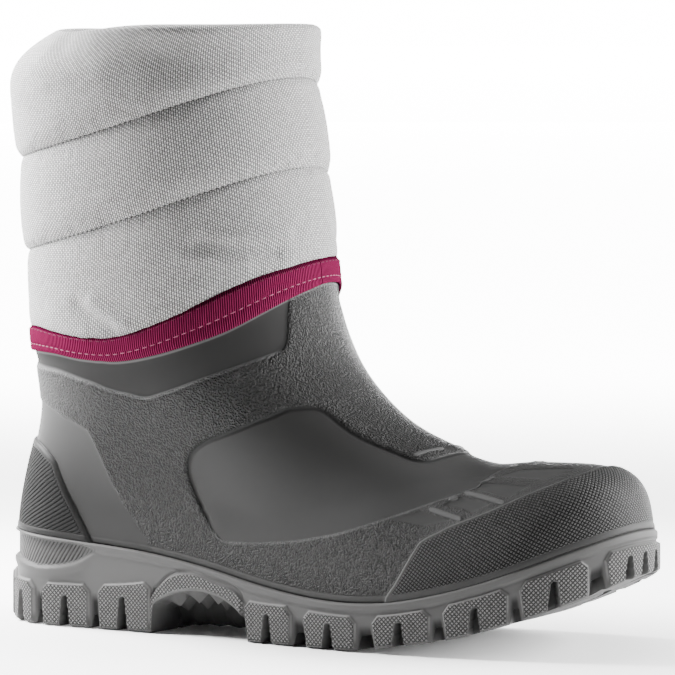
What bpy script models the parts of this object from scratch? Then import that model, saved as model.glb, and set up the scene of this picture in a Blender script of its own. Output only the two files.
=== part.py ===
"""Snow hiking boot for the right foot, empty and standing on its sole.

Five pieces that a maker puts together: a lugged outsole with a sunk footbed, an insole that lies in it,
a moulded waterproof shell with a raised toe bumper and heel counter, a padded fabric shaft, and the
binding tape that covers the seam between shell and shaft.

The boot is worked out in millimetres, with x forward from the back of the heel, y towards the inner side
of the foot and z up from the floor. It is placed with its origin on the floor under the middle of the sole.
"""

from collections import namedtuple

import bpy
import numpy as np

MM = 0.001
COLLECTION = "snow_hiking_boot"

# Driving sizes of the boot
SOLE_LENGTH = 285.0
ORIGIN_X = 143.59
LEG_HALF_WIDTH = 54.5
SHELL_WALL = 2.8
SHAFT_WALL = 6.0
TAPE_THICK = 1.2
INSOLE_THICK = 4.0

# Clear gaps between pieces that touch
SEAT_GAP = 0.45
SEAM_GAP = 0.4
TAPE_GAP = 0.3

# Toe of the upper: front of its lower edge, lean of its wall, roundness seen from above, turn towards
# the inner side and where along the foot that turn starts
TOE_X = 281.0
TOE_Z = 47.0
TOE_LEAN = 0.12
TOE_ROUND = 39.0
TOE_LIMIT_Z = 110.0
TOE_TURN = 4.0
TOE_TURN_START = 150.0
TOE_TURN_POWER = 1.5

# Fullness of the sections, and how sharply toe, instep and heel lines blend into one form
DOME_POWER = 2.15
BLEND_POWER = 5.0

# Heights between which the width of the foot grows into the width of the leg
FLARE_LOW = 47.0
FLARE_HIGH = 118.0

# Line of the upper seen from the side, from the toe over the instep and up the shin
TopPoint = namedtuple("TopPoint", "x z depth")
TOP_LINE = (
    TopPoint(325.0, 67.0, 34.0),
    TopPoint(295.0, 69.0, 34.0),
    TopPoint(268.0, 71.6, 36.0),
    TopPoint(240.0, 71.6, 39.0),
    TopPoint(215.0, 71.4, 43.0),
    TopPoint(195.0, 77.2, 47.0),
    TopPoint(175.5, 86.0, 51.0),
    TopPoint(159.0, 99.5, 55.0),
    TopPoint(148.2, 114.0, 59.0),
    TopPoint(142.2, 132.0, 62.0),
    TopPoint(139.5, 150.0, 63.0),
    TopPoint(136.0, 185.0, 62.5),
    TopPoint(130.5, 222.0, 61.5),
    TopPoint(126.5, 255.0, 61.0),
)
TOP_LINE_STEPS = 90

# Search for the outline of the side view: how far past the aim it looks, and how often it halves
SEARCH_REACH = 1.8
SEARCH_HALVINGS = 40
BACK_AIM_OUT = 2.0
# Small steps along the surface that give its outward directions
ANGLE_STEP = 0.4
LEVEL_STEP = 0.004

# Line of the upper at the back, from the sole up the leg
BackPoint = namedtuple("BackPoint", "z x depth")
BACK_LINE = (
    BackPoint(20.0, 5.2, 34.0),
    BackPoint(36.0, 5.6, 35.0),
    BackPoint(50.0, 7.0, 38.0),
    BackPoint(64.0, 10.2, 43.0),
    BackPoint(76.0, 14.0, 50.0),
    BackPoint(88.0, 16.6, 57.0),
    BackPoint(104.0, 16.2, 61.0),
    BackPoint(118.0, 15.2, 62.5),
    BackPoint(132.0, 15.0, 63.0),
    BackPoint(150.0, 12.8, 63.0),
    BackPoint(190.0, 9.6, 62.5),
    BackPoint(220.0, 7.0, 61.5),
    BackPoint(255.0, 5.0, 61.0),
)

# Half-widths of the foot along its length
FootPoint = namedtuple("FootPoint", "x outer inner")
FOOT_WIDTH = (
    FootPoint(0.0, 35.0, 35.0),
    FootPoint(36.0, 34.5, 34.0),
    FootPoint(100.0, 37.5, 33.0),
    FootPoint(150.0, 44.0, 38.5),
    FootPoint(190.0, 48.5, 44.5),
    FootPoint(215.0, 48.0, 46.0),
    FootPoint(240.0, 44.5, 46.0),
    FootPoint(262.0, 39.5, 43.5),
    FootPoint(285.0, 35.0, 40.0),
)

# Sole seen from the side: its top edge, the floor side of its tread, its footbed
SolePoint = namedtuple("SolePoint", "x edge tread footbed")
SOLE_SIDE = (
    SolePoint(0.0, 38.5, 3.0, 22.0),
    SolePoint(18.0, 37.3, 0.0, 21.5),
    SolePoint(55.0, 34.6, 0.0, 20.0),
    SolePoint(85.0, 32.0, 0.0, 18.0),
    SolePoint(115.0, 27.4, 0.0, 15.5),
    SolePoint(140.0, 22.6, 0.0, 13.0),
    SolePoint(165.0, 19.4, 0.0, 11.5),
    SolePoint(182.0, 18.8, 0.0, 11.5),
    SolePoint(198.0, 19.8, 2.2, 12.8),
    SolePoint(220.0, 24.0, 6.0, 16.6),
    SolePoint(243.0, 31.0, 13.0, 24.6),
    SolePoint(267.0, 41.2, 22.8, 34.8),
    SolePoint(285.0, 49.5, 31.8, 42.0),
)

# The toe spring starts sooner on the inner side: by how much, and where along the foot that begins
SPRING_SKEW = 0.12
SKEW_START = 195.0
SKEW_END = 262.0

# Rings round the upper: heights at the back and half-way, the point that the front is aimed at, and how
# closely the ring follows the edge of the sole
RingRow = namedtuple("RingRow", "level back_z middle_z front_x front_z follow")
SHELL_RINGS = (
    RingRow(0.0, 38.0, 22.5, 281.0, 47.5, 1.0),
    RingRow(0.1, 42.5, 28.0, 283.0, 55.0, 0.85),
    RingRow(0.2, 48.0, 34.0, 281.0, 65.0, 0.6),
    RingRow(0.3, 53.5, 39.5, 268.0, 72.0, 0.35),
    RingRow(0.4, 60.0, 46.0, 240.0, 73.0, 0.15),
    RingRow(0.5, 67.0, 54.0, 215.0, 74.0, 0.0),
    RingRow(0.6, 75.0, 63.0, 192.0, 80.0, 0.0),
    RingRow(0.7, 83.0, 73.0, 172.0, 90.0, 0.0),
    RingRow(0.8, 92.0, 85.0, 156.0, 105.0, 0.0),
    RingRow(0.9, 101.0, 97.0, 147.0, 122.0, 0.0),
    RingRow(1.0, 109.5, 110.0, 143.0, 140.0, 0.0),
)
SHAFT_RINGS = (
    RingRow(0.0, 109.5, 110.0, 143.0, 140.0, 0.0),
    RingRow(0.1, 119.5, 120.5, 142.0, 150.0, 0.0),
    RingRow(0.4, 149.0, 162.5, 139.0, 186.0, 0.0),
    RingRow(0.7, 186.5, 199.5, 136.0, 222.5, 0.0),
    RingRow(1.0, 240.2, 236.8, 132.5, 240.2, 0.0),
)

# Raised areas of the shell's wall: lip along the sole, bumper round the toe, counter round the heel.
# Levels run up the shell, and angles run round it from the middle of the heel to the middle of the toe.
RELIEF = 1.3
LIP_RELIEF = 0.7
LIP_LEVEL = 0.035
BUMPER_LEVEL = 0.265
BUMPER_ANGLE = 114.0
BUMPER_SLANT = 9.0
BUMPER_SLANT_LEVEL = 0.23
BUMPER_DROP = -0.05
BUMPER_RISE = 0.02
COUNTER_LEVEL = 0.635
COUNTER_ANGLE = 50.0
COUNTER_SLANT = -5.5
COUNTER_SLANT_LEVEL = 0.5
COUNTER_DROP = -0.115
STEP_LEVEL = 0.012
STEP_ANGLE = 0.8
COUNTER_TURN_FADE = (20.0, 85.0)
COUNTER_DROP_FADE = (24.0, 66.0)
COUNTER_LEVEL_FADE = (0.3, 0.85)
BUMPER_TURN_FADE = (88.0, 150.0)
BUMPER_DROP_FADE = (92.0, 176.0)
BUMPER_TOP_FADE = 0.5
SHELL_OPEN_LEVELS = (0.1, 0.18, 0.33, 0.4, 0.47, 0.55, 0.72, 0.79, 0.86, 0.93, 1.0)
SHELL_INNER_LEVELS = (1.0, 0.9, 0.8, 0.7, 0.6, 0.5, 0.36, 0.18, 0.0)
SHELL_HEEL_ANGLES = (0.0, 7.0, 14.0, 21.0, 28.0, 35.0, 42.0)
SHELL_WAIST_ANGLES = (58.0, 66.0, 74.0, 82.0, 90.0, 98.0, 106.0)
SHELL_TOE_ANGLES = (122.0, 130.0, 138.0, 146.0, 153.0, 160.0, 167.0, 174.0, 180.0)

# Quilted shaft: padded tubes between the tape, two sewn seams and the rim, and how full each tube is
SEAM_LEVELS = (0.1, 0.4, 0.7, 1.0)
TUBE_FULLNESS = (1.3, 1.6, 2.2)
TUBE_SHOULDER = 0.25
TUBE_STATIONS = (0.0, 0.06, 0.2, 0.5, 0.8, 0.94)
SHAFT_COLUMNS = 44
RIM_STATIONS = (0.0, 0.06, 0.2, 0.5, 0.7, 0.84, 0.93, 0.98, 1.0)
SHAFT_INNER_LEVELS = (1.0, 0.96, 0.88, 0.75, 0.4, 0.0)
RIM_ROUND = 2.6
# The back of the collar rolls forward over the opening: how far, and over which height
ROLL_FORWARD = 26.0
ROLL_HEIGHT = 25.0
ROLL_POWER = 2.4

# Binding tape: its lower and upper edges and their softness, as levels of the shaft, and its edge's step in
TAPE_LOW = 0.002
TAPE_HIGH = 0.098
TAPE_SOFT = 0.006
TAPE_EDGE_STEP = 0.4

# Lugs round the sole, as angles from the middle of the heel to the middle of the toe, and their slots
LugRow = namedtuple("LugRow", "start end slots")
LUGS = (
    LugRow(3.0, 17.5, (0.5,)),
    LugRow(20.0, 33.2, (0.5,)),
    LugRow(35.8, 50.4, (0.5,)),
    LugRow(52.4, 65.2, (0.48,)),
    LugRow(85.3, 95.4, (0.5,)),
    LugRow(97.4, 108.4, (0.5,)),
    LugRow(111.0, 123.0, (0.48,)),
    LugRow(125.0, 139.8, (0.5,)),
    LugRow(141.6, 159.4, (0.5,)),
    LugRow(163.6, 196.4, (0.28, 0.5)),
)
LUG_DRAFT = 0.6
SLOT_TURN = 1.8
SLOT_DRAFT_TURN = 0.5
ARCH_ANGLES = (68.5, 72.0, 75.5, 79.0, 82.0)
ARCH_START = 65.2
ARCH_END = 85.3
GROOVE_DEPTH = 6.5
ARCH_ROOF = 12.0
SLOT_HEIGHT_SHARE = 0.72
ROOF_HEIGHT_SHARE = 0.8
CORNER_CUT = 3.0
HEEL_BAND_FULL = 47.0
HEEL_BAND_NONE = 54.0

# Steps of the sole's side, as distances out from the upper's lower edge, by what stands there
SideRow = namedtuple("SideRow", "lug slot corner gap arch")
FACE_FOOT_OUT = SideRow(1.8, 1.2, 1.6, 0.2, 0.6)
FACE_LOW_OUT = SideRow(3.2, 2.4, 2.8, 0.9, 1.8)
FACE_HIGH_OUT = SideRow(3.6, 3.4, 3.2, 1.3, 2.6)
WALL_FOOT_OUT = SideRow(1.8, 1.8, 1.7, 1.5, 1.6)
FACE_BEVEL = 1.5
ROOF_BEVEL = 0.6
FACE_SHOULDER = 2.4
WALL_OUT = 1.5
WAVE_OUT = 0.9
BAND_SINK = 0.6
WAVE_STEP = 0.9
WALL_LEAST = 0.5
FLANGE_THICK = 3.2
FLANGE_OUT = 2.4
FLANGE_CORNER = 0.8
FLANGE_TOP_OUT = 1.7
# Steps of the sole's underside and seat, as distances in from the upper's lower edge
TREAD_IN = 4.0
SLOT_BACK_IN = 3.4
INNER_GROOVE_IN = (19.0, 16.6, 14.4)
SEAT_IN = 6.0
FOOTBED_IN = 6.5

# Insole's edge: distances in from the upper's lower edge, and heights over the insole's underside
INSOLE_EDGE = ((9.0, 0.0), (7.2, 0.8), (7.2, 3.0), (8.4, INSOLE_THICK))
INSOLE_COLUMNS = 31

# Upper edge of the smooth wave round the heel's side, under a sunk ribbed band
WavePoint = namedtuple("WavePoint", "angle z")
HEEL_WAVE = (
    WavePoint(0.0, 27.0),
    WavePoint(20.0, 26.0),
    WavePoint(38.0, 23.6),
    WavePoint(46.0, 26.0),
    WavePoint(53.0, 31.5),
    WavePoint(60.0, 34.0),
)

# Height of the lug faces round the sole
LugHeight = namedtuple("LugHeight", "angle height")
LUG_HEIGHTS = (
    LugHeight(0.0, 17.0),
    LugHeight(60.0, 17.0),
    LugHeight(72.0, 21.5),
    LugHeight(85.0, 14.5),
    LugHeight(110.0, 14.0),
    LugHeight(124.0, 13.4),
    LugHeight(150.0, 13.2),
    LugHeight(180.0, 12.2),
)


def column(table, name):
    """One named column of a table, as an array."""
    return np.array([getattr(row, name) for row in table], dtype=float)


def curve(at, knots, values):
    """Smooth curve through points: cubic pieces whose slopes are those of the neighbouring points."""
    slopes = np.gradient(values, knots)
    index = np.clip(np.searchsorted(knots, at) - 1, 0, len(knots) - 2)
    span = knots[index + 1] - knots[index]
    s = np.clip((at - knots[index]) / span, 0.0, 1.0)
    ends = values[index] * (1 + 2 * s) * (1 - s) ** 2 + values[index + 1] * s * s * (3 - 2 * s)
    bends = slopes[index] * s * (1 - s) ** 2 - slopes[index + 1] * s * s * (1 - s)
    return ends + span * bends


def table_curve(at, table, along, name):
    """The smooth curve of one column of a table over another."""
    return curve(np.asarray(at, dtype=float), column(table, along), column(table, name))


def smooth_step(low, high, value):
    """0 below low, 1 above high, with a soft change between them."""
    t = np.clip((value - low) / (high - low), 0.0, 1.0)
    return t * t * (3 - 2 * t)


def top_line_points():
    """The top line as closely spaced points: x, z and the depth of the dome under it."""
    knots = np.arange(len(TOP_LINE), dtype=float)
    along = np.linspace(0.0, knots[-1], TOP_LINE_STEPS)
    return [curve(along, knots, column(TOP_LINE, name)) for name in TopPoint._fields]


def nearness_to_top(x, z):
    """1 on the top line, falling to 0 at the dome's depth inside it, and above 1 outside."""
    line_x, line_z, line_depth = top_line_points()
    step_x = np.diff(line_x)
    step_z = np.diff(line_z)
    from_x = x[..., None] - line_x[:-1]
    from_z = z[..., None] - line_z[:-1]
    share = np.clip((from_x * step_x + from_z * step_z) / (step_x**2 + step_z**2), 0.0, 1.0)
    off_x = from_x - share * step_x
    off_z = from_z - share * step_z
    distance = np.hypot(off_x, off_z)
    nearest = distance.argmin(axis=-1)[..., None]
    depth = line_depth[:-1] + share * np.diff(line_depth)
    inside = np.sign(step_x * off_z - step_z * off_x)
    relative = inside * distance / depth
    return 1.0 - np.take_along_axis(relative, nearest, axis=-1)[..., 0]


def nearness(x, z):
    """How near a point of the side view is to the upper's outline: 0 well inside, 1 on it."""
    top = np.clip(nearness_to_top(x, z), 0.0, None)
    toe_front = TOE_X - TOE_LEAN * (z - TOE_Z)
    toe = np.clip(1.0 - (toe_front - x) / TOE_ROUND, 0.0, None) * (z < TOE_LIMIT_Z)
    back_x = table_curve(z, BACK_LINE, "z", "x")
    back_depth = table_curve(z, BACK_LINE, "z", "depth")
    back = np.clip(1.0 - (x - back_x) / back_depth, 0.0, None)
    return (top**BLEND_POWER + toe**BLEND_POWER + back**BLEND_POWER) ** (1.0 / BLEND_POWER)


def half_width(x, z, outer):
    """Half-width of the upper at a point of the side view, on its outer or its inner side."""
    along = np.clip(x, 0.0, SOLE_LENGTH)
    outer_foot = table_curve(along, FOOT_WIDTH, "x", "outer")
    inner_foot = table_curve(along, FOOT_WIDTH, "x", "inner")
    foot = np.where(outer, outer_foot, inner_foot)
    full = foot + (LEG_HALF_WIDTH - foot) * smooth_step(FLARE_LOW, FLARE_HIGH, z)
    near = np.clip(nearness(x, z), 0.0, 1.0)
    return full * (1.0 - near**DOME_POWER) ** (1.0 / DOME_POWER)


def middle_line(x):
    """The middle of the foot, which turns towards the inner side at the toe."""
    share = np.clip((x - TOE_TURN_START) / (TOE_X - TOE_TURN_START), 0.0, 1.0)
    return TOE_TURN * share**TOE_TURN_POWER


def sole_z(x, name):
    """Height of one line of the sole's side view."""
    return table_curve(np.clip(x, 0.0, SOLE_LENGTH), SOLE_SIDE, "x", name)


def tread_z(x, y):
    """Height of the tread: flat on the floor, rising at the toe and a little at the back of the heel."""
    skewed = x + SPRING_SKEW * y * smooth_step(SKEW_START, SKEW_END, x)
    return np.maximum(sole_z(skewed, "tread"), 0.0)


def outline_hit(start, aim):
    """Where a straight line from inside the side view meets the upper's outline, found by halving."""
    low = np.zeros(len(start))
    high = np.full(len(start), SEARCH_REACH)
    for _ in range(SEARCH_HALVINGS):
        share = (low + high) / 2
        point = start + (aim - start) * share[:, None]
        inside = nearness(point[:, 0], point[:, 1]) < 1.0
        low = np.where(inside, share, low)
        high = np.where(inside, high, share)
    return start + (aim - start) * low[:, None]


def upper_surface(rings, level, angle):
    """Points of the upper at levels up it and angles round it, in degrees from the middle of the heel.

    In the side view a ring is a parabola through its back, middle and front points, blended near the sole
    with the line of the sole's edge. The half-width there gives the third coordinate.
    """
    rows, row_of = np.unique(np.ravel(level), return_inverse=True)
    angle = angle % 360.0
    outer = angle <= 180.0
    share = (1.0 - np.cos(np.radians(angle))) / 2.0
    back_z = table_curve(rows, rings, "level", "back_z")
    front_x = table_curve(rows, rings, "level", "front_x")
    front_z = table_curve(rows, rings, "level", "front_z")
    back_x = table_curve(back_z, BACK_LINE, "z", "x")
    middle_z = table_curve(rows, rings, "level", "middle_z")
    inside = np.stack([(back_x + front_x) / 2, middle_z], axis=-1)
    front = outline_hit(inside, np.stack([front_x, front_z], axis=-1))[row_of]
    back = outline_hit(inside, np.stack([back_x - BACK_AIM_OUT, back_z], axis=-1))[row_of]
    middle_z = middle_z[row_of]
    follow = table_curve(rows, rings, "level", "follow")[row_of]
    x = back[:, 0] + (front[:, 0] - back[:, 0]) * share
    through_back = back[:, 1] * (1 - share) * (1 - 2 * share)
    through_middle = middle_z * 4 * share * (1 - share)
    through_front = front[:, 1] * share * (2 * share - 1)
    free = through_back + through_middle + through_front
    back_lift = back[:, 1] - sole_z(back[:, 0], "edge")
    front_lift = front[:, 1] - sole_z(front[:, 0], "edge")
    tied = sole_z(x, "edge") + back_lift * (1 - share) + front_lift * share
    z = tied * follow + free * (1 - follow)
    y = np.where(outer, -1.0, 1.0) * half_width(x, z, outer) + middle_line(x)
    return np.stack([x, y, z], axis=-1)


def unit(vectors):
    """Vectors scaled to length one."""
    return vectors / np.linalg.norm(vectors, axis=-1, keepdims=True)


def upper_normals(rings, level, angle):
    """Outward directions of the upper, from small steps along its surface."""
    ahead = upper_surface(rings, level, angle + ANGLE_STEP)
    behind = upper_surface(rings, level, angle - ANGLE_STEP)
    above = upper_surface(rings, np.minimum(level + LEVEL_STEP, 1.0), angle)
    below = upper_surface(rings, np.maximum(level - LEVEL_STEP, 0.0), angle)
    return unit(np.cross(ahead - behind, above - below))


def level_out(directions):
    """Directions turned to lie flat, for the edges where two pieces meet."""
    flat = directions.copy()
    flat[..., 2] = 0.0
    return unit(flat)


def both_sides(half_angles):
    """Angles from heel to toe, followed by the same angles back along the inner side."""
    half = np.array(sorted(half_angles), dtype=float)
    return np.concatenate([half, 360.0 - half[-2:0:-1]])


def from_heel(angle):
    """Turn from the middle of the heel, the same on the outer and the inner side."""
    return np.minimum(angle % 360.0, 360.0 - angle % 360.0)


def make_piece(name, points, faces, colour, roughness, crease_degrees):
    """A named object of points in millimetres, placed over the origin, with its own material."""
    placed = (np.asarray(points) - [ORIGIN_X, 0.0, 0.0]) * MM
    mesh = bpy.data.meshes.new(name)
    mesh.from_pydata(placed.tolist(), [], faces)
    mesh.shade_smooth()
    mesh.set_sharp_from_angle(angle=np.radians(crease_degrees))
    material = bpy.data.materials.new(name)
    material.use_nodes = True
    shader = material.node_tree.nodes["Principled BSDF"]
    shader.inputs["Base Color"].default_value = (*colour, 1.0)
    shader.inputs["Roughness"].default_value = roughness
    shader.inputs["Metallic"].default_value = 0.0
    mesh.materials.append(material)
    piece = bpy.data.objects.new(name, mesh)
    bpy.data.collections[COLLECTION].objects.link(piece)
    return piece


def loft_faces(rows, columns, closed):
    """Faces between rings of points that run round the boot, from each ring to the next.

    A closed loft also joins the last ring to the first.
    """
    faces = []
    for row in range(rows if closed else rows - 1):
        above = (row + 1) % rows
        for this in range(columns):
            following = (this + 1) % columns
            faces.append(
                (
                    row * columns + this,
                    row * columns + following,
                    above * columns + following,
                    above * columns + this,
                )
            )
    return faces


def cap_faces(first, columns, upward):
    """Strips that close a ring from its outer side across to its inner side."""
    faces = []
    half = columns // 2
    for this in range(half):
        across = [this, this + 1, columns - this - 1, (columns - this) % columns]
        strip = [first + place for place in dict.fromkeys(across)]
        faces.append(tuple(strip if upward else reversed(strip)))
    return faces


def sole_columns():
    """Angles round the sole with what stands there: lug, corner of a lug, slot in a lug, gap or arch."""
    columns = [(0.0, "gap")]
    for lug in LUGS:
        columns += [(lug.start - LUG_DRAFT, "gap"), (lug.start, "corner")]
        for place in lug.slots:
            middle = lug.start + (lug.end - lug.start) * place
            before = middle - SLOT_TURN / 2
            after = middle + SLOT_TURN / 2
            columns += [(before - SLOT_DRAFT_TURN, "lug"), (before, "slot")]
            columns += [(after, "slot"), (after + SLOT_DRAFT_TURN, "lug")]
        columns += [(lug.end, "corner"), (lug.end + LUG_DRAFT, "gap")]
    columns += [(angle, "arch") for angle in ARCH_ANGLES]
    half = sorted(row for row in columns if row[0] < 180.0) + [(180.0, "slot")]
    return half + [(360.0 - angle, kind) for angle, kind in half[-2:0:-1]]


def sole_outline(angle):
    """The lower edge of the upper seen from above, with its outward directions."""
    level = np.zeros(len(angle))
    return upper_surface(SHELL_RINGS, level, angle), level_out(upper_normals(SHELL_RINGS, level, angle))


def outsole():
    """Outsole: lugs with slots round the edge, cross bars, raised arch, side steps and a sunk footbed."""
    columns = sole_columns()
    angle = np.array([place for place, _ in columns])
    kind = [name for _, name in columns]
    outline, outward = sole_outline(angle)
    lug_height = table_curve(from_heel(angle), LUG_HEIGHTS, "angle", "height")
    arch_share = np.clip((from_heel(angle) - ARCH_START) / (ARCH_END - ARCH_START), 0.0, 1.0)
    heel_band = 1.0 - smooth_step(HEEL_BAND_FULL, HEEL_BAND_NONE, from_heel(angle))

    def pick(by_kind):
        """One value for each column, by what stands there."""
        values = [np.broadcast_to(getattr(by_kind, name), len(kind)) for name in kind]
        return np.diagonal(np.array(values, dtype=float))

    def ring(offset, z):
        """The outline moved outward by an offset, at its own heights."""
        plan = outline + outward * np.broadcast_to(offset, len(angle))[:, None]
        return np.column_stack([plan[:, 0], plan[:, 1], np.broadcast_to(z, len(angle))])

    def above_tread(offset, up):
        """The outline moved outward by an offset, at heights over the tread."""
        flat = ring(offset, 0.0)
        return ring(offset, tread_z(flat[:, 0], flat[:, 1]) + up)

    edge = outline[:, 2]
    cut = pick(SideRow(lug=0.0, slot=0.0, corner=CORNER_CUT, gap=0.0, arch=0.0))
    wall_high = edge - FLANGE_THICK
    wave_limit = wall_high - WAVE_STEP
    wave = np.minimum(table_curve(from_heel(angle), HEEL_WAVE, "angle", "z"), wave_limit)
    wave = np.where(from_heel(angle) > HEEL_BAND_NONE, wave_limit, wave)
    tread = tread_z(outline[:, 0], outline[:, 1])
    lug_top = np.minimum(tread + lug_height, wave - WAVE_STEP - WALL_LEAST)
    wall_low = lug_top - cut
    face_height = lug_top - FACE_SHOULDER - tread
    slot_roof = SLOT_HEIGHT_SHARE * face_height
    roof = GROOVE_DEPTH + (ARCH_ROOF - GROOVE_DEPTH) * np.sin(np.pi * arch_share)
    roof = np.minimum(roof, ROOF_HEIGHT_SHARE * face_height)
    bottom = pick(SideRow(lug=0.0, slot=0.0, corner=0.0, gap=roof, arch=roof))
    notched = pick(SideRow(lug=0.0, slot=slot_roof, corner=0.0, gap=roof, arch=roof))
    bevel = pick(SideRow(lug=FACE_BEVEL, slot=ROOF_BEVEL, corner=FACE_BEVEL, gap=ROOF_BEVEL, arch=ROOF_BEVEL))
    groove_in, groove_middle, groove_out = INNER_GROOVE_IN
    rings = [
        above_tread(-groove_in, bottom),
        above_tread(-groove_middle, roof),
        above_tread(-groove_out, bottom),
        above_tread(-TREAD_IN, bottom),
        above_tread(-SLOT_BACK_IN, notched),
        above_tread(pick(FACE_FOOT_OUT), notched),
        above_tread(pick(FACE_LOW_OUT), notched + bevel),
        ring(pick(FACE_HIGH_OUT), wall_low - FACE_SHOULDER),
        ring(pick(WALL_FOOT_OUT), wall_low),
        ring(WALL_OUT + WAVE_OUT * heel_band, wave - WAVE_STEP),
        ring(WALL_OUT - BAND_SINK * heel_band, wave),
        ring(WALL_OUT - BAND_SINK * heel_band, wall_high),
        ring(FLANGE_OUT, wall_high + FLANGE_CORNER),
        ring(FLANGE_OUT, edge - FLANGE_CORNER),
        ring(FLANGE_TOP_OUT, edge),
        ring(-SEAT_IN, edge),
        ring(-FOOTBED_IN, sole_z(outline[:, 0], "footbed")),
    ]
    count = len(angle)
    faces = loft_faces(len(rings), count, closed=False)
    faces += cap_faces(0, count, upward=False)
    faces += cap_faces((len(rings) - 1) * count, count, upward=True)
    return make_piece("outsole", np.concatenate(rings), faces, (0.27, 0.27, 0.265), 0.6, 30.0)


def insole():
    """Insole: a flat board that lies in the sole's footbed."""
    angle = both_sides(np.linspace(0.0, 180.0, INSOLE_COLUMNS))
    outline, outward = sole_outline(angle)
    low = sole_z(outline[:, 0], "footbed") + SEAT_GAP
    rings = []
    for inward, up in INSOLE_EDGE:
        plan = outline - outward * inward
        rings.append(np.column_stack([plan[:, 0], plan[:, 1], low + up]))
    count = len(angle)
    faces = loft_faces(len(rings), count, closed=False)
    faces += cap_faces(0, count, upward=False)
    faces += cap_faces((len(rings) - 1) * count, count, upward=True)
    return make_piece("insole", np.concatenate(rings), faces, (0.18, 0.18, 0.18), 0.9, 40.0)


def peak(value, ends, top):
    """1 at the top and 0 at both ends, along straight lines between them."""
    return np.interp(value, (ends[0], top, ends[1]), (0.0, 1.0, 0.0))


def aligned(level, angle):
    """Levels and angles moved so that rows and columns run along the edges of bumper and counter.

    The move is full on an edge and fades out on both sides of it.
    """
    turn = from_heel(angle)
    counter_reach = peak(turn, COUNTER_TURN_FADE, COUNTER_ANGLE)
    counter_move = COUNTER_SLANT * np.clip(level / COUNTER_SLANT_LEVEL, 0.0, 1.0)
    bumper_reach = peak(turn, BUMPER_TURN_FADE, BUMPER_ANGLE)
    bumper_move = BUMPER_SLANT * np.clip(level / BUMPER_SLANT_LEVEL, 0.0, 1.0)
    move = counter_reach * counter_move + bumper_reach * bumper_move
    counter_line = COUNTER_DROP * peak(turn, COUNTER_DROP_FADE, COUNTER_ANGLE)
    counter_lift = counter_line * peak(level, COUNTER_LEVEL_FADE, COUNTER_LEVEL)
    bumper_start, bumper_front = BUMPER_DROP_FADE
    bumper_line = np.interp(turn, (bumper_start, BUMPER_ANGLE, bumper_front), (0.0, BUMPER_DROP, BUMPER_RISE))
    bumper_lift = bumper_line * peak(level, (LIP_LEVEL, BUMPER_TOP_FADE), BUMPER_LEVEL)
    return level + counter_lift + bumper_lift, angle + np.where(angle <= 180.0, move, -move)


def shell_relief(level, angle):
    """Thickness added to the shell's wall on its lip, its toe bumper and its heel counter."""
    turn = from_heel(angle)
    lip = np.where(level <= LIP_LEVEL, LIP_RELIEF, 0.0)
    bumper = (turn >= BUMPER_ANGLE + STEP_ANGLE / 2) & (level <= BUMPER_LEVEL)
    counter = (turn <= COUNTER_ANGLE - STEP_ANGLE / 2) & (level <= COUNTER_LEVEL)
    return np.where(bumper | counter, RELIEF, lip)


def shell():
    """Moulded shell of the foot: a wall between the form and its inside, thicker at toe and heel."""
    edges = [COUNTER_ANGLE - STEP_ANGLE, COUNTER_ANGLE, BUMPER_ANGLE, BUMPER_ANGLE + STEP_ANGLE]
    angle = both_sides([*SHELL_HEEL_ANGLES, *SHELL_WAIST_ANGLES, *SHELL_TOE_ANGLES, *edges])
    steps = [LIP_LEVEL, BUMPER_LEVEL, COUNTER_LEVEL]
    levels = sorted([0.0, *SHELL_OPEN_LEVELS, *steps, *(level + STEP_LEVEL for level in steps)])
    rings = []
    for level in [*levels, *SHELL_INNER_LEVELS]:
        nominal = np.full(len(angle), level)
        height, turned = aligned(nominal, angle)
        normal = upper_normals(SHELL_RINGS, height, turned)
        if level in (0.0, 1.0):
            normal = level_out(normal)
        depth = -SHELL_WALL if len(rings) >= len(levels) else shell_relief(nominal, angle)[:, None]
        rings.append(upper_surface(SHELL_RINGS, height, turned) + normal * depth)
    points = np.concatenate(rings)
    points[:, 2] += SEAT_GAP
    faces = loft_faces(len(rings), len(angle), closed=True)
    return make_piece("shell", points, faces, (0.055, 0.055, 0.055), 0.55, 32.0)


def tube_bulge(level):
    """Outward swell of the padded tubes: a quarter of an ellipse up from each seam, then full."""
    swell = np.zeros_like(level)
    for low, high, fullness in zip(SEAM_LEVELS, SEAM_LEVELS[1:], TUBE_FULLNESS):
        share = (level - low) / (high - low)
        from_seam = share if high == SEAM_LEVELS[-1] else np.minimum(share, 1.0 - share)
        shoulder = np.clip(from_seam / TUBE_SHOULDER, 0.0, 1.0)
        inside = (level > low) & (level <= high)
        swell += np.where(inside, fullness * np.sqrt(1.0 - (1.0 - shoulder) ** 2), 0.0)
    return swell


def roll_forward(z, rim_z, angle):
    """How far the top of the collar rolls forward: ever more towards the rim, and only round the back."""
    share = np.clip((z - (rim_z - ROLL_HEIGHT)) / ROLL_HEIGHT, 0.0, 1.0)
    from_front = (1.0 + np.cos(np.radians(angle))) / 2.0
    return ROLL_FORWARD * from_front * share**ROLL_POWER


def shaft_outside(level, angle):
    """Outer face of the padded shaft."""
    rim_z = upper_surface(SHAFT_RINGS, np.ones_like(level), angle)[:, 2]
    base = upper_surface(SHAFT_RINGS, level, angle)
    flat = level_out(upper_normals(SHAFT_RINGS, level, angle))
    swollen = base + flat * tube_bulge(level)[:, None]
    swollen[:, 0] += roll_forward(base[:, 2], rim_z, angle)
    return swollen


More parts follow.
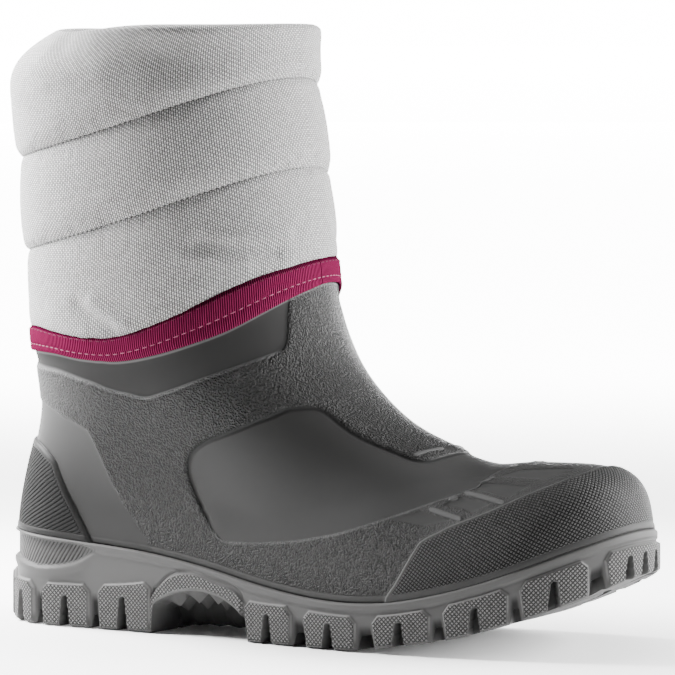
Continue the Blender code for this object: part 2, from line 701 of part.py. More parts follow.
def shaft_normals(level, angle):
    """Outward directions of the padded shaft without its quilting, rolled collar included."""

    def plain(at_level, at_angle):
        swell = tube_bulge(at_level)[:, None]
        flat = level_out(upper_normals(SHAFT_RINGS, at_level, at_angle))
        return shaft_outside(at_level, at_angle) - flat * swell

    round_it = plain(level, angle + ANGLE_STEP) - plain(level, angle - ANGLE_STEP)
    up = plain(np.minimum(level + LEVEL_STEP, 1.0), angle)
    down = plain(np.maximum(level - LEVEL_STEP, 0.0), angle)
    return unit(np.cross(round_it, up - down))


def shaft():
    """Padded shaft: quilted tubes outside, an even face inside, a round rim rolled in at the back."""
    angle = np.arange(SHAFT_COLUMNS) * 360.0 / SHAFT_COLUMNS
    levels = [0.0]
    for low, high in zip(SEAM_LEVELS[:-2], SEAM_LEVELS[1:-1]):
        levels += [low + (high - low) * share for share in TUBE_STATIONS]
    levels += [SEAM_LEVELS[-2] + (SEAM_LEVELS[-1] - SEAM_LEVELS[-2]) * share for share in RIM_STATIONS]
    outside = [shaft_outside(np.full(SHAFT_COLUMNS, level), angle) for level in levels]
    inside = []
    for level in SHAFT_INNER_LEVELS:
        height = np.full(SHAFT_COLUMNS, level)
        normal = shaft_normals(height, angle)
        if level == 0.0:
            normal = level_out(normal)
        swell = tube_bulge(height)[:, None] * level_out(normal)
        inside.append(shaft_outside(height, angle) - swell - normal * SHAFT_WALL)
    rim = (outside[-1] + inside[0]) / 2
    rise = unit(outside[-1] - outside[-2]) * RIM_ROUND
    points = np.concatenate([*outside, rim + rise, *inside])
    points[:, 2] += SEAT_GAP + SEAM_GAP
    faces = loft_faces(len(outside) + 1 + len(inside), SHAFT_COLUMNS, closed=True)
    return make_piece("shaft", points, faces, (0.55, 0.55, 0.54), 0.85, 40.0)


def binding_tape():
    """Binding tape: a flat band round the foot of the shaft, with soft edges."""
    angle = np.arange(SHAFT_COLUMNS) * 360.0 / SHAFT_COLUMNS
    outer = TAPE_GAP + TAPE_THICK
    profile = (
        (TAPE_LOW, TAPE_GAP),
        (TAPE_LOW, outer - TAPE_EDGE_STEP),
        (TAPE_LOW + TAPE_SOFT, outer),
        (TAPE_HIGH - TAPE_SOFT, outer),
        (TAPE_HIGH, outer - TAPE_EDGE_STEP),
        (TAPE_HIGH, TAPE_GAP),
    )
    rings = []
    for level, off in profile:
        height = np.full(SHAFT_COLUMNS, level)
        flat = level_out(upper_normals(SHAFT_RINGS, height, angle))
        rings.append(upper_surface(SHAFT_RINGS, height, angle) + flat * off)
    points = np.concatenate(rings)
    points[:, 2] += SEAT_GAP + SEAM_GAP
    faces = loft_faces(len(rings), SHAFT_COLUMNS, closed=True)
    return make_piece("binding_tape", points, faces, (0.3, 0.01, 0.09), 0.8, 50.0)


def main():
    """Clear the scene and build the five pieces."""
    for old in list(bpy.data.objects):
        bpy.data.objects.remove(old, do_unlink=True)
    collection = bpy.data.collections.new(COLLECTION)
    bpy.context.scene.collection.children.link(collection)
    outsole()
    insole()
    shell()
    shaft()
    binding_tape()


main()
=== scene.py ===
# %% [markdown]
# A pull-on snow boot for the right foot, empty and standing on its sole. A moulded rubber foot shell sits
# on a lugged outsole, a padded fabric shaft rises from it, and a ribbed tape covers the seam between them.
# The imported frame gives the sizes. Each piece here is a finer surface that stands for one of its nodes.

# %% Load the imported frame
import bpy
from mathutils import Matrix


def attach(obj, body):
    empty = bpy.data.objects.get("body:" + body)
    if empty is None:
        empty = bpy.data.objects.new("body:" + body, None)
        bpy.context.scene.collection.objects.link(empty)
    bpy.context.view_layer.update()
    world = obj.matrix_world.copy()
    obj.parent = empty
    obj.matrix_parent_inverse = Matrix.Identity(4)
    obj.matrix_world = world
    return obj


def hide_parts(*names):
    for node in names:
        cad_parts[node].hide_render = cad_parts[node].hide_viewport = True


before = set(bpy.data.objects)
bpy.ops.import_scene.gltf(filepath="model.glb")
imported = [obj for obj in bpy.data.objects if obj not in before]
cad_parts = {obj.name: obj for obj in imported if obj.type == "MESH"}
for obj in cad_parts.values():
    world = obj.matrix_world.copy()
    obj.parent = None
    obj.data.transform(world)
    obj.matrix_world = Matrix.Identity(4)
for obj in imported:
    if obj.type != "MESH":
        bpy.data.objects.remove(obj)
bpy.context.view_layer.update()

import bpy
import numpy as np
from mathutils import Vector

MM = 0.001
print("frame pieces:", sorted(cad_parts))

# %% [markdown]
# The last. A boot is made round a last, a block shaped like the foot. Its side view is drawn by three lines:
# the top line over toe, instep and shin, the back line and the sole's edge. A modeller could sculpt it, but
# here its half-width is a function of how near a point of the side view is to those lines, so that every
# later piece can be placed on it by a level and a turn round it.

# %% Lines of the last, in millimetres forward from the heel and up from the floor
ORIGIN_X = 143.59
# x, z, depth of the dome under the line
TOP_LINE = np.array([
    (325.0, 67.0, 34.0), (295.0, 69.0, 34.0), (268.0, 71.6, 36.0), (240.0, 71.6, 39.0), (215.0, 71.4, 43.0),
    (195.0, 77.2, 47.0), (175.5, 86.0, 51.0), (159.0, 99.5, 55.0), (148.2, 114.0, 59.0), (142.2, 132.0, 62.0),
    (139.5, 150.0, 63.0), (136.0, 185.0, 62.5), (130.5, 222.0, 61.5), (126.5, 255.0, 61.0)])
# z, x, depth
BACK_LINE = np.array([
    (20.0, 5.2, 34.0), (36.0, 5.6, 35.0), (50.0, 7.0, 38.0), (64.0, 10.2, 43.0), (76.0, 14.0, 50.0),
    (88.0, 16.6, 57.0), (104.0, 16.2, 61.0), (118.0, 15.2, 62.5), (132.0, 15.0, 63.0), (150.0, 12.8, 63.0),
    (190.0, 9.6, 62.5), (220.0, 7.0, 61.5), (255.0, 5.0, 61.0)])
# x, half-width on the outer side, on the inner side
FOOT_WIDTH = np.array([
    (0.0, 35.0, 35.0), (36.0, 34.5, 34.0), (100.0, 37.5, 33.0), (150.0, 44.0, 38.5), (190.0, 48.5, 44.5),
    (215.0, 48.0, 46.0), (240.0, 44.5, 46.0), (262.0, 39.5, 43.5), (285.0, 35.0, 40.0)])
# x, top edge of the sole, tread, footbed
SOLE_SIDE = np.array([
    (0.0, 38.5, 3.0, 22.0), (18.0, 37.3, 0.0, 21.5), (55.0, 34.6, 0.0, 20.0), (85.0, 32.0, 0.0, 18.0),
    (115.0, 27.4, 0.0, 15.5), (140.0, 22.6, 0.0, 13.0), (165.0, 19.4, 0.0, 11.5), (182.0, 18.8, 0.0, 11.5),
    (198.0, 19.8, 2.2, 12.8), (220.0, 24.0, 6.0, 16.6), (243.0, 31.0, 13.0, 24.6), (267.0, 41.2, 22.8, 34.8),
    (285.0, 49.5, 31.8, 42.0)])
EDGE, TREAD, FOOTBED = 1, 2, 3
# level, height at the back, height half-way, aim of the front (x, z), share of the sole's edge in the ring
SHELL_RINGS = np.array([
    (0.0, 38.0, 22.5, 281.0, 47.5, 1.0), (0.1, 42.5, 28.0, 283.0, 55.0, 0.85),
    (0.2, 48.0, 34.0, 281.0, 65.0, 0.6), (0.3, 53.5, 39.5, 268.0, 72.0, 0.35),
    (0.4, 60.0, 46.0, 240.0, 73.0, 0.15), (0.5, 67.0, 54.0, 215.0, 74.0, 0.0),
    (0.6, 75.0, 63.0, 192.0, 80.0, 0.0), (0.7, 83.0, 73.0, 172.0, 90.0, 0.0),
    (0.8, 92.0, 85.0, 156.0, 105.0, 0.0), (0.9, 101.0, 97.0, 147.0, 122.0, 0.0),
    (1.0, 109.5, 110.0, 143.0, 140.0, 0.0)])
SHAFT_RINGS = np.array([
    (0.0, 109.5, 110.0, 143.0, 140.0, 0.0), (0.1, 119.5, 120.5, 142.0, 150.0, 0.0),
    (0.4, 149.0, 162.5, 139.0, 186.0, 0.0), (0.7, 186.5, 199.5, 136.0, 222.5, 0.0),
    (1.0, 240.2, 236.8, 132.5, 240.2, 0.0)])


def curve(at, table, column=1):
    """Cubic pieces through a table's points, with slopes taken from the neighbouring points."""
    knots, values = table[:, 0], table[:, column]
    slopes = np.gradient(values, knots)
    i = np.clip(np.searchsorted(knots, at) - 1, 0, len(knots) - 2)
    span = knots[i + 1] - knots[i]
    t = np.clip((at - knots[i]) / span, 0.0, 1.0)
    ends = values[i] * (1 + 2 * t) * (1 - t) ** 2 + values[i + 1] * t * t * (3 - 2 * t)
    return ends + span * (slopes[i] * t * (1 - t) ** 2 - slopes[i + 1] * t * t * (1 - t))


def smooth_step(low, high, value):
    """0 at low, 1 at high, with a soft change between them."""
    t = np.clip((value - low) / (high - low), 0.0, 1.0)
    return t * t * (3 - 2 * t)


def window(start, end, value):
    """1 between a soft step up and a soft step down, each given by its ends, and 0 outside them."""
    return smooth_step(*start, value) * (1.0 - smooth_step(*end, value))


def eased(count):
    """Shares from 0 to 1 that lie closer together towards both ends, by a cosine."""
    return (1.0 - np.cos(np.linspace(0.0, np.pi, count))) / 2.0


def unit(vectors):
    """Vectors scaled to length one."""
    return vectors / np.linalg.norm(vectors, axis=-1, keepdims=True)


def sole_z(x, line):
    """Height of one line of the sole's side view."""
    return curve(np.clip(x, 0.0, SOLE_SIDE[-1, 0]), SOLE_SIDE, line)


print("side view drawn by", len(TOP_LINE) + len(BACK_LINE) + len(SOLE_SIDE), "points")

# %% Form of the last
TOE_X, TOE_Z, TOE_LEAN, TOE_ROUND, TOE_LIMIT_Z = 281.0, 47.0, 0.12, 39.0, 110.0
TOE_TURN, TOE_TURN_START, TOE_TURN_POWER = 4.0, 150.0, 1.5
DOME_POWER, BLEND_POWER = 2.15, 5.0
LEG_HALF_WIDTH, FLARE_LOW, FLARE_HIGH = 54.5, 47.0, 118.0
SEARCH_REACH, SEARCH_HALVINGS, BEHIND_BACK = 1.8, 40, 2.0

knot = np.arange(len(TOP_LINE), dtype=float)
fine_knot = np.linspace(0.0, knot[-1], 90)
top_x, top_z, top_depth = (curve(fine_knot, np.column_stack([knot, line])) for line in TOP_LINE.T)


def nearness(x, z):
    """How near points of the side view are to the outline: 0 well inside, 1 on it.

    The nearness to the top line, the toe and the back are blended by a power mean.
    """
    step_x, step_z = np.diff(top_x), np.diff(top_z)
    from_x, from_z = x[..., None] - top_x[:-1], z[..., None] - top_z[:-1]
    share = np.clip((from_x * step_x + from_z * step_z) / (step_x**2 + step_z**2), 0.0, 1.0)
    off_x, off_z = from_x - share * step_x, from_z - share * step_z
    distance = np.hypot(off_x, off_z)
    depth = top_depth[:-1] + share * np.diff(top_depth)
    signed = np.sign(step_x * off_z - step_z * off_x) * distance / depth
    nearest = distance.argmin(axis=-1)[..., None]
    top = 1.0 - np.take_along_axis(signed, nearest, axis=-1)[..., 0]
    toe = 1.0 - (TOE_X - TOE_LEAN * (z - TOE_Z) - x) / TOE_ROUND
    back = 1.0 - (x - curve(z, BACK_LINE, 1)) / curve(z, BACK_LINE, 2)
    lines = np.stack([top, np.where(z < TOE_LIMIT_Z, toe, 0.0), back])
    return (np.clip(lines, 0.0, None) ** BLEND_POWER).sum(axis=0) ** (1.0 / BLEND_POWER)


def outline_hit(start, aim):
    """Where straight lines from inside the side view meet its outline, found by halving."""
    low, high = np.zeros(len(start)), np.full(len(start), SEARCH_REACH)
    for _ in range(SEARCH_HALVINGS):
        share = (low + high) / 2
        point = start + (aim - start) * share[:, None]
        within = nearness(point[:, 0], point[:, 1]) < 1.0
        low, high = np.where(within, share, low), np.where(within, high, share)
    return start + (aim - start) * low[:, None]


def last_points(rings, level, angle):
    """Rings round the last at levels up it and angles round it, in degrees from the middle of the heel.

    In the side view a ring is a parabola through its back, middle and front, blended near the sole with the
    sole's edge. The half-width there, on a super-ellipse, gives the third coordinate.
    """
    back_z, middle_z, front_x, front_z, follow = (curve(level, rings, n) for n in range(1, 6))
    back_x = curve(back_z, BACK_LINE)
    start = np.column_stack([(back_x + front_x) / 2, middle_z])
    front = outline_hit(start, np.column_stack([front_x, front_z]))
    back = outline_hit(start, np.column_stack([back_x - BEHIND_BACK, back_z]))
    t = (1.0 - np.cos(np.radians(angle))) / 2.0
    x = back[:, :1] + (front[:, :1] - back[:, :1]) * t
    ends = back[:, 1:] * (1 - t) * (1 - 2 * t) + front[:, 1:] * t * (2 * t - 1)
    free = ends + middle_z[:, None] * 4 * t * (1 - t)
    back_lift = back[:, 1:] - sole_z(back[:, :1], EDGE)
    front_lift = front[:, 1:] - sole_z(front[:, :1], EDGE)
    tied = sole_z(x, EDGE) + back_lift * (1 - t) + front_lift * t
    z = tied * follow[:, None] + free * (1 - follow[:, None])
    outer = np.broadcast_to(angle % 360.0 <= 180.0, x.shape)
    forward = np.clip(x, 0.0, SOLE_SIDE[-1, 0])
    foot = np.where(outer, curve(forward, FOOT_WIDTH, 1), curve(forward, FOOT_WIDTH, 2))
    full = foot + (LEG_HALF_WIDTH - foot) * smooth_step(FLARE_LOW, FLARE_HIGH, z)
    near = np.clip(np.stack([nearness(*ring) for ring in zip(x, z)]), 0.0, 1.0)
    half = full * (1.0 - near**DOME_POWER) ** (1.0 / DOME_POWER)
    turned = np.clip((x - TOE_TURN_START) / (TOE_X - TOE_TURN_START), 0.0, 1.0) ** TOE_TURN_POWER
    return np.stack([x, np.where(outer, -half, half) + TOE_TURN * turned, z], axis=-1)


print("top line:", len(top_x), "points, up to", round(float(top_z.max())), "mm")

# %% The last as a grid that is read at levels and angles


def grid_normals(points):
    """Outward directions of a grid of rings, from its neighbouring points."""
    around = np.roll(points, -1, axis=1) - np.roll(points, 1, axis=1)
    return unit(np.cross(around, np.gradient(points, axis=0)))


def between(t):
    """Cubic weights of four neighbouring points for a place between the middle two."""
    return (
        (2 * t**2 - t**3 - t) / 2, (3 * t**3 - 5 * t**2 + 2) / 2,
        (4 * t**2 - 3 * t**3 + t) / 2, (t**3 - t**2) / 2)


def read_grid(grid, row, column):
    """Values of a grid of rings at places between its rows and columns, cubic both ways."""
    row, column = np.broadcast_arrays(np.clip(row, 0.0, len(grid) - 1.0), column)
    low, left = np.minimum(np.floor(row), len(grid) - 2).astype(int), np.floor(column).astype(int)
    total = 0.0
    for j, sideways in enumerate(between(column - left)):
        for i, upward in enumerate(between(row - low)):
            place = grid[np.clip(low + i - 1, 0, len(grid) - 1), (left + j - 1) % grid.shape[1]]
            total = total + (sideways * upward)[..., None] * place
    return total


class Last:
    """The last as a grid of points and outward directions, with one column for each degree."""

    def __init__(self, rings, rows=121):
        self.points = last_points(rings, np.linspace(0.0, 1.0, rows), np.arange(360.0))
        self.normals = grid_normals(self.points)

    def at(self, level, angle):
        """Points at levels and angles."""
        return read_grid(self.points, np.asarray(level) * (len(self.points) - 1), angle)

    def out(self, level, angle):
        """Outward directions at levels and angles."""
        return unit(read_grid(self.normals, np.asarray(level) * (len(self.points) - 1), angle))

    def flat_out(self, level, angle):
        """Outward directions laid flat."""
        return unit(self.out(level, angle) * [1.0, 1.0, 0.0])


foot_last = Last(SHELL_RINGS)
leg_last = Last(SHAFT_RINGS)
print("last:", foot_last.points.shape, leg_last.points.shape)

# %% [markdown]
# Surfaces. Every piece is a grid of points: columns run round the boot, from the heel along the outer side
# to the toe and back along the inner side, and rows run up its outside and down its inside. Modelling tools
# could push such grids by hand. A grid of numbers keeps each panel and lug where the photo shows it.

# %% Grids, distances and meshes


def mirrored(half):
    """Columns from heel to toe, followed by the same columns back along the inner side."""
    return np.concatenate([half, half[..., -2:0:-1]], axis=-1)


def round_angles(turns):
    """Angles all round for turns from heel to toe."""
    return np.concatenate([turns, 360.0 - turns[-2:0:-1]])


def run_lengths(points):
    """Distances run along the first axis of an array of points, starting at zero."""
    steps = np.linalg.norm(np.diff(points, axis=0), axis=-1)
    return np.concatenate([np.zeros_like(steps[:1]), np.cumsum(steps, axis=0)])


def even_turns(last, level, count):
    """Turns from heel to toe at even distances along a ring, and those distances in millimetres."""
    turns = np.linspace(0.0, 180.0, 1801)
    run = run_lengths(last.at(level, turns))
    even = np.linspace(0.0, run[-1], count)
    return np.interp(even, run, turns), even


def grid_faces(rows, columns, closed):
    """Quads between rings of points, with the last ring joined to the first where closed."""
    index = np.arange(rows * columns).reshape(rows, columns)
    low = index if closed else index[:-1]
    high = np.roll(index, -1, axis=0) if closed else index[1:]
    return np.stack([low, np.roll(low, -1, 1), np.roll(high, -1, 1), high], axis=-1).reshape(-1, 4)


def cap_faces(first, columns, upward):
    """Strips across a ring from its outer to its inner side: quads, with a triangle at heel and toe."""
    this = np.arange(1, columns // 2 - 1)
    quads = np.column_stack([this, this + 1, columns - this - 1, columns - this])
    ends = np.array([(0, 1, columns - 1), (columns // 2 - 1, columns // 2, columns // 2 + 1)])
    return [first + (block if upward else block[:, ::-1]) for block in (quads, ends)]


def capped_faces(rows, columns):
    """Quads between rings from bottom to top, closed by a cap across the first and the last ring."""
    caps = cap_faces(0, columns, upward=False) + cap_faces((rows - 1) * columns, columns, upward=True)
    return [grid_faces(rows, columns, closed=False), *caps]


def add_object(name, data):
    """A new object, linked to the scene."""
    made = bpy.data.objects.new(name, data)
    bpy.context.scene.collection.objects.link(made)
    return made


def make_piece(name, points, slot, stands_for=(), faces=None, uv=None, crease=None, **fields):
    """A piece of the boot from points in millimetres, with its map in millimetres and named point fields.

    Unless faces are given, the points are rings that close to a tube, the last ring joined to the first.
    """
    if faces is None:
        faces = [grid_faces(*points.shape[:2], closed=True)]
    mesh = bpy.data.meshes.new(name)
    placed = (points.reshape(-1, 3) - [ORIGIN_X, 0.0, 0.0]) * MM
    mesh.vertices.add(len(placed))
    mesh.vertices.foreach_set("co", placed.ravel())
    corners = np.concatenate([block.ravel() for block in faces])
    sizes = np.concatenate([np.full(len(block), block.shape[1]) for block in faces])
    mesh.loops.add(len(corners))
    mesh.loops.foreach_set("vertex_index", corners)
    mesh.polygons.add(len(sizes))
    mesh.polygons.foreach_set("loop_start", np.cumsum(sizes) - sizes)
    mesh.update(calc_edges=True)
    if uv is not None:
        mesh.uv_layers.new(name="millimetres").data.foreach_set("uv", uv.reshape(-1, 2)[corners].ravel())
    for field, values in fields.items():
        attribute = mesh.attributes.new(field, "FLOAT", "POINT")
        attribute.data.foreach_set("value", np.ravel(values).astype(np.float32))
    mesh.shade_smooth()
    if crease is not None:
        mesh.set_sharp_from_angle(angle=np.radians(crease))
    piece = add_object(name, mesh)
    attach(piece, "root")
    if stands_for:
        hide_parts(*stands_for)
    print(name, "triangles:", int((sizes - 2).sum()))
    return piece


# %% [markdown]
# Foot shell. The real one is injection-moulded rubber, about 3 mm thick, with panels that stand in or out by
# about a millimetre. Its moulds are engraved along drawn lines. So here each panel is an outline of turns and
# levels read off the photo, and the wall's relief is a soft step across the distance to that outline.

# %% Outlines of the shell's panels, as turns from the heel in degrees and levels up the shell
COUNTER = (
    (0, .60), (20, .604), (32.2, .608), (38.8, .592), (43.2, .564), (44.5, .524), (46.2, .448), (46, .344),
    (46.5, .236), (48, .132), (49.5, .028), (50, .0))
HEEL_PANEL = (
    (0, .775), (20, .80), (34.8, .808), (42.2, .808), (47.8, .804), (53.2, .792), (58, .784), (61.5, .772),
    (63.8, .764), (65, .748), (65.2, .724), (65.2, .696), (65, .656), (64.5, .612), (64.2, .568),
    (64.5, .524), (64.8, .456), (62.8, .36), (61.8, .24), (63, .152), (64, .08), (65.5, .0))
COLLAR = (
    (0, .945), (30, .945), (45, .943), (60, .942), (75, .928), (83.3, .905), (90.7, .884), (96.7, .866),
    (104.7, .869), (119.7, .875), (135, .875), (148, .875), (153, .876), (156.7, .884), (159, .906),
    (160.7, .938), (162.3, .972), (163.5, 1.02))
SIDE_TOP = (
    (80.3, .256), (80.5, .3), (81.7, .344), (84.6, .402), (87.3, .456), (88.2, .498), (89.2, .536),
    (90, .564), (91.1, .592), (93.2, .628), (96.2, .664), (100.2, .696), (106.2, .72), (113.2, .732),
    (121.2, .74), (129.8, .748), (137.5, .752), (143.2, .756), (147, .753), (150.8, .748), (154.2, .74),
    (156.2, .724), (156.8, .7), (157, .672), (157.9, .625), (159.2, .585), (160.6, .54), (164, .527),
    (170, .529), (180, .533))
SIDE_FOOT = (
    (180, .405), (170, .40), (160, .39), (153.3, .378), (145.7, .359), (134, .35), (120.7, .331),
    (108.8, .302), (104.5, .292), (100.2, .28), (96.2, .268), (92, .256), (87.8, .24), (83.8, .225),
    (82.6, .22), (81.4, .222), (80.7, .232), (80.3, .256))
BUMPER = (
    (113.5, .0), (114.3, .047), (117.3, .131), (121, .205), (123, .228), (126.3, .241), (130, .253),
    (138.3, .263), (148, .275), (155.3, .278), (164.3, .281), (180, .29))
TOE_DIPS = (
    ((121, .332), (128.4, .33), (130.4, .272), (124.5, .276), (121, .332)),
    ((133.4, .332), (139.6, .344), (140.8, .29), (135.2, .278), (133.4, .332)),
    ((144.2, .352), (150, .364), (152.6, .305), (145.2, .29), (144.2, .352)),
    ((156.5, .372), (165.5, .372), (172, .315), (158.5, .306), (156.5, .372)))
# Raised bars on the toe and the instep, each from end to end
BARS = (
    ((130.2, .326), (131.9, .268)), ((141.6, .348), (142.6, .278)), ((149.6, .366), (154.2, .372)),
    ((136.9, .343), (137.8, .341)), ((167.0, .39), (173.0, .394)), ((162.5, .548), (176.0, .55)))
# Turns and levels past the ends of the half shell, where open outlines are closed
PAST_HEEL, PAST_TOE, BELOW, ABOVE = -1, 181, -0.1, 1.1
print("outlines of 5 panels,", len(TOE_DIPS), "dips and", len(BARS), "bars")

# %% Signed distances to the panels
SHELL_HALF_COLUMNS, SHELL_ROWS = 321, 142
shell_turn, shell_along = even_turns(foot_last, 0.3, SHELL_HALF_COLUMNS)
shell_level = np.linspace(0.0, 1.0, SHELL_ROWS)[:, None]
half_points = foot_last.at(shell_level, shell_turn)
shell_up = run_lengths(half_points)


def rounded(outline, steps=6):
    """An outline's points with smooth curves between them."""
    outline = np.array(outline, dtype=float)
    number = np.arange(len(outline), dtype=float)
    fine = np.linspace(0.0, number[-1], (len(outline) - 1) * steps + 1)
    return np.column_stack([curve(fine, np.column_stack([number, line])) for line in outline.T])


def line_distance(points, line):
    """Distance in millimetres of every point to a line of short straight pieces."""
    nearest = np.full(points.shape[:-1], np.inf)
    for start, end in zip(line[:-1], line[1:]):
        step = end - start
        share = np.clip((points - start) @ step / (step @ step + 1e-9), 0.0, 1.0)
        nearest = np.minimum(nearest, np.linalg.norm(points - start - share[..., None] * step, axis=-1))
    return nearest


def edge_distance(outline):
    """Distance of every point of the half shell to a line of turns and levels."""
    return line_distance(half_points, foot_last.at(outline[:, 1], outline[:, 0]))


def inside(outline):
    """Which points of the half shell lie inside a closed outline of turns and levels: odd crossings."""
    turns, levels = np.broadcast_arrays(shell_turn, shell_level)
    odd = np.zeros(turns.shape, dtype=bool)
    for (turn_a, level_a), (turn_b, level_b) in zip(outline, np.roll(outline, -1, axis=0)):
        crosses = (level_a > levels) != (level_b > levels)
        with np.errstate(divide="ignore", invalid="ignore"):
            meets = turn_a + (levels - level_a) * (turn_b - turn_a) / (level_b - level_a)
        odd ^= crosses & (turns < meets)
    return odd


def panel(edge, *closing, straight=False):
    """Signed distance to a panel's drawn edge, positive inside. The closing corners bound it elsewhere."""
    drawn = np.array(edge) if straight else rounded(edge)
    closed = np.concatenate([drawn, np.array(closing, dtype=float).reshape(-1, 2)])
    distance = edge_distance(drawn)
    return np.where(inside(closed), distance, -distance)


in_counter = panel(COUNTER, (PAST_HEEL, BELOW), (PAST_HEEL, COUNTER[0][1]))
in_heel_panel = panel(HEEL_PANEL, (PAST_HEEL, BELOW), (PAST_HEEL, HEEL_PANEL[0][1]))
in_collar = panel(COLLAR, (PAST_HEEL, ABOVE), (PAST_HEEL, COLLAR[0][1]))
side_front = [(PAST_TOE, SIDE_TOP[-1][1]), (PAST_TOE, SIDE_FOOT[0][1])]
side_outline = np.concatenate([rounded(SIDE_TOP), side_front, rounded(SIDE_FOOT)])
inside_side = np.where(inside(side_outline), 1.0, -1.0)
from_side_top, from_side_foot = edge_distance(rounded(SIDE_TOP)), edge_distance(rounded(SIDE_FOOT))
in_side = inside_side * np.minimum(from_side_top, from_side_foot)
in_bumper = panel(BUMPER, (PAST_TOE, BUMPER[-1][1]), (PAST_TOE, BELOW), (BUMPER[0][0], BELOW))
in_dips = np.max([panel(dip, straight=True) for dip in TOE_DIPS], axis=0)
from_bars = np.min([edge_distance(np.array(bar)) for bar in BARS], axis=0)
print("panels drawn on", half_points.shape[:2], "points")

# %% Relief of the shell: steps out from the last, in millimetres, or in where below zero
LIP_STEP, COUNTER_STEP, HEEL_STEP, COLLAR_STEP = 0.3, 1.2, -0.6, -1.0
SIDE_SLOPE, SIDE_STEP, BUMPER_STEP, DIP_STEP, BAR_STEP = -0.8, -0.25, 1.1, -0.4, 0.5


def step_in(distance, width):
    """0 outside an edge and 1 inside it, over a width in millimetres."""
    return smooth_step(-width / 2, width / 2, distance)


def bead(distance, middle, width):
    """A rounded ridge along an edge, at a distance from it."""
    return np.exp(-(((distance - middle) / width) ** 2))


collar_fade = 1.0 - 0.8 * smooth_step(0.95, 1.0, shell_level)
side_fade = smooth_step(0.0, 14.0, from_side_foot)
relief = (
    LIP_STEP * (1.0 - smooth_step(1.5, 2.3, shell_up))
    + COUNTER_STEP * step_in(in_counter, 1.8)
    + HEEL_STEP * step_in(in_heel_panel, 2.0) * smooth_step(0.2, 0.7, shell_level)
    + COLLAR_STEP * step_in(in_collar, 2.2) * collar_fade
    + SIDE_SLOPE * step_in(from_side_top * inside_side, 3.0) * side_fade
    + SIDE_STEP * step_in(in_side, 2.0)
    + BUMPER_STEP * step_in(in_bumper, 1.8)
    + DIP_STEP * step_in(in_dips, 2.0)
    + BAR_STEP * (1.0 - smooth_step(0.6, 2.0, from_bars)))
print("relief:", relief.min().round(2), "to", relief.max().round(2), "mm")

# %% Shell piece
SHELL_WALL, SEAT_GAP, SEAT_TOUCH, SEAM_GAP = 2.8, 0.45, 0.08, 0.4
SHAFT_SEAT = np.array([0.0, 0.0, SEAT_GAP + SEAM_GAP])
# Turn, lower and upper edge of the binding tape, as levels over the shell's upper edge
TAPE_EDGES = np.array([
    (0.0, .0, .1), (15.0, .005, .105), (30.0, .02, .12), (45.0, .037, .135), (60.0, .04, .125),
    (75.0, .016, .104), (90.0, -.012, .078), (105.0, -.025, .077), (120.0, -.033, .084),
    (135.0, -.037, .092), (150.0, -.029, .092), (165.0, -.02, .084), (180.0, -.016, .084)])
LOWER, UPPER = 1, 2
TAPE_LIFT, TAPE_LIFT_TURN, TAPE_LIFT_REACH = 0.045, 215.0, 30.0
# How far the shell runs up under the tape, as a level, and where it starts to
TAPE_COVER, COVER_START = 0.012, 0.88
INNER_ROWS, FIELD_REACH = 11, 9.0


def folded(angle):
    """Turn from heel to toe, the same on both sides, for an angle all round."""
    return 180.0 - np.abs(np.asarray(angle) % 360.0 - 180.0)


def tape_edge(angle, column):
    """Level of the tape's lower or upper edge, which stays up longer on the inner side of the front."""
    lift = TAPE_LIFT * bead(np.asarray(angle) % 360.0, TAPE_LIFT_TURN, TAPE_LIFT_REACH)
    return curve(folded(angle), TAPE_EDGES, column) + lift


def on_leg(level, angle, out):
    """Points at a flat distance out from the leg's last, or from the foot's below its lower edge."""
    level, angle, out = np.broadcast_arrays(level, angle, out)
    up_leg = np.maximum(level, 0.0)
    under_leg = foot_last.at(1.0 + np.minimum(level, 0.0), angle)
    base = np.where((level < 0.0)[..., None], under_leg, leg_last.at(up_leg, angle))
    return base + leg_last.flat_out(up_leg, angle) * out[..., None] + SHAFT_SEAT


shell_angle = round_angles(shell_turn)
shell_columns = len(shell_angle)
covered = np.maximum(tape_edge(shell_angle, LOWER) + TAPE_COVER, 0.0)
up_to_tape = leg_last.at(covered, shell_angle) - leg_last.at(0.0, shell_angle)
outer_wall = foot_last.at(shell_level, shell_angle)
outer_wall = outer_wall + smooth_step(COVER_START, 1.0, shell_level)[..., None] * up_to_tape
outer_wall = outer_wall + foot_last.out(shell_level, shell_angle) * mirrored(relief)[..., None]
inner_level = np.linspace(1.0, 0.0, INNER_ROWS)[:, None]
inner_wall = foot_last.at(inner_level, shell_angle) - SHELL_WALL * foot_last.out(inner_level, shell_angle)
shell_points = np.concatenate([outer_wall, inner_wall]) + [0.0, 0.0, SEAT_GAP]
shell_points[[0, -1], :, 2] -= SEAT_GAP - SEAT_TOUCH
blank = np.zeros((INNER_ROWS, shell_columns))


def both_walls(half):
    """A field of the outer wall, mirrored to the inner side, with zeros for the inside of the wall."""
    return np.concatenate([mirrored(np.broadcast_to(half, half_points.shape[:2])), blank])


def within_reach(field):
    """A field of distances, held to the reach that the materials need."""
    return np.clip(field, -FIELD_REACH, FIELD_REACH)


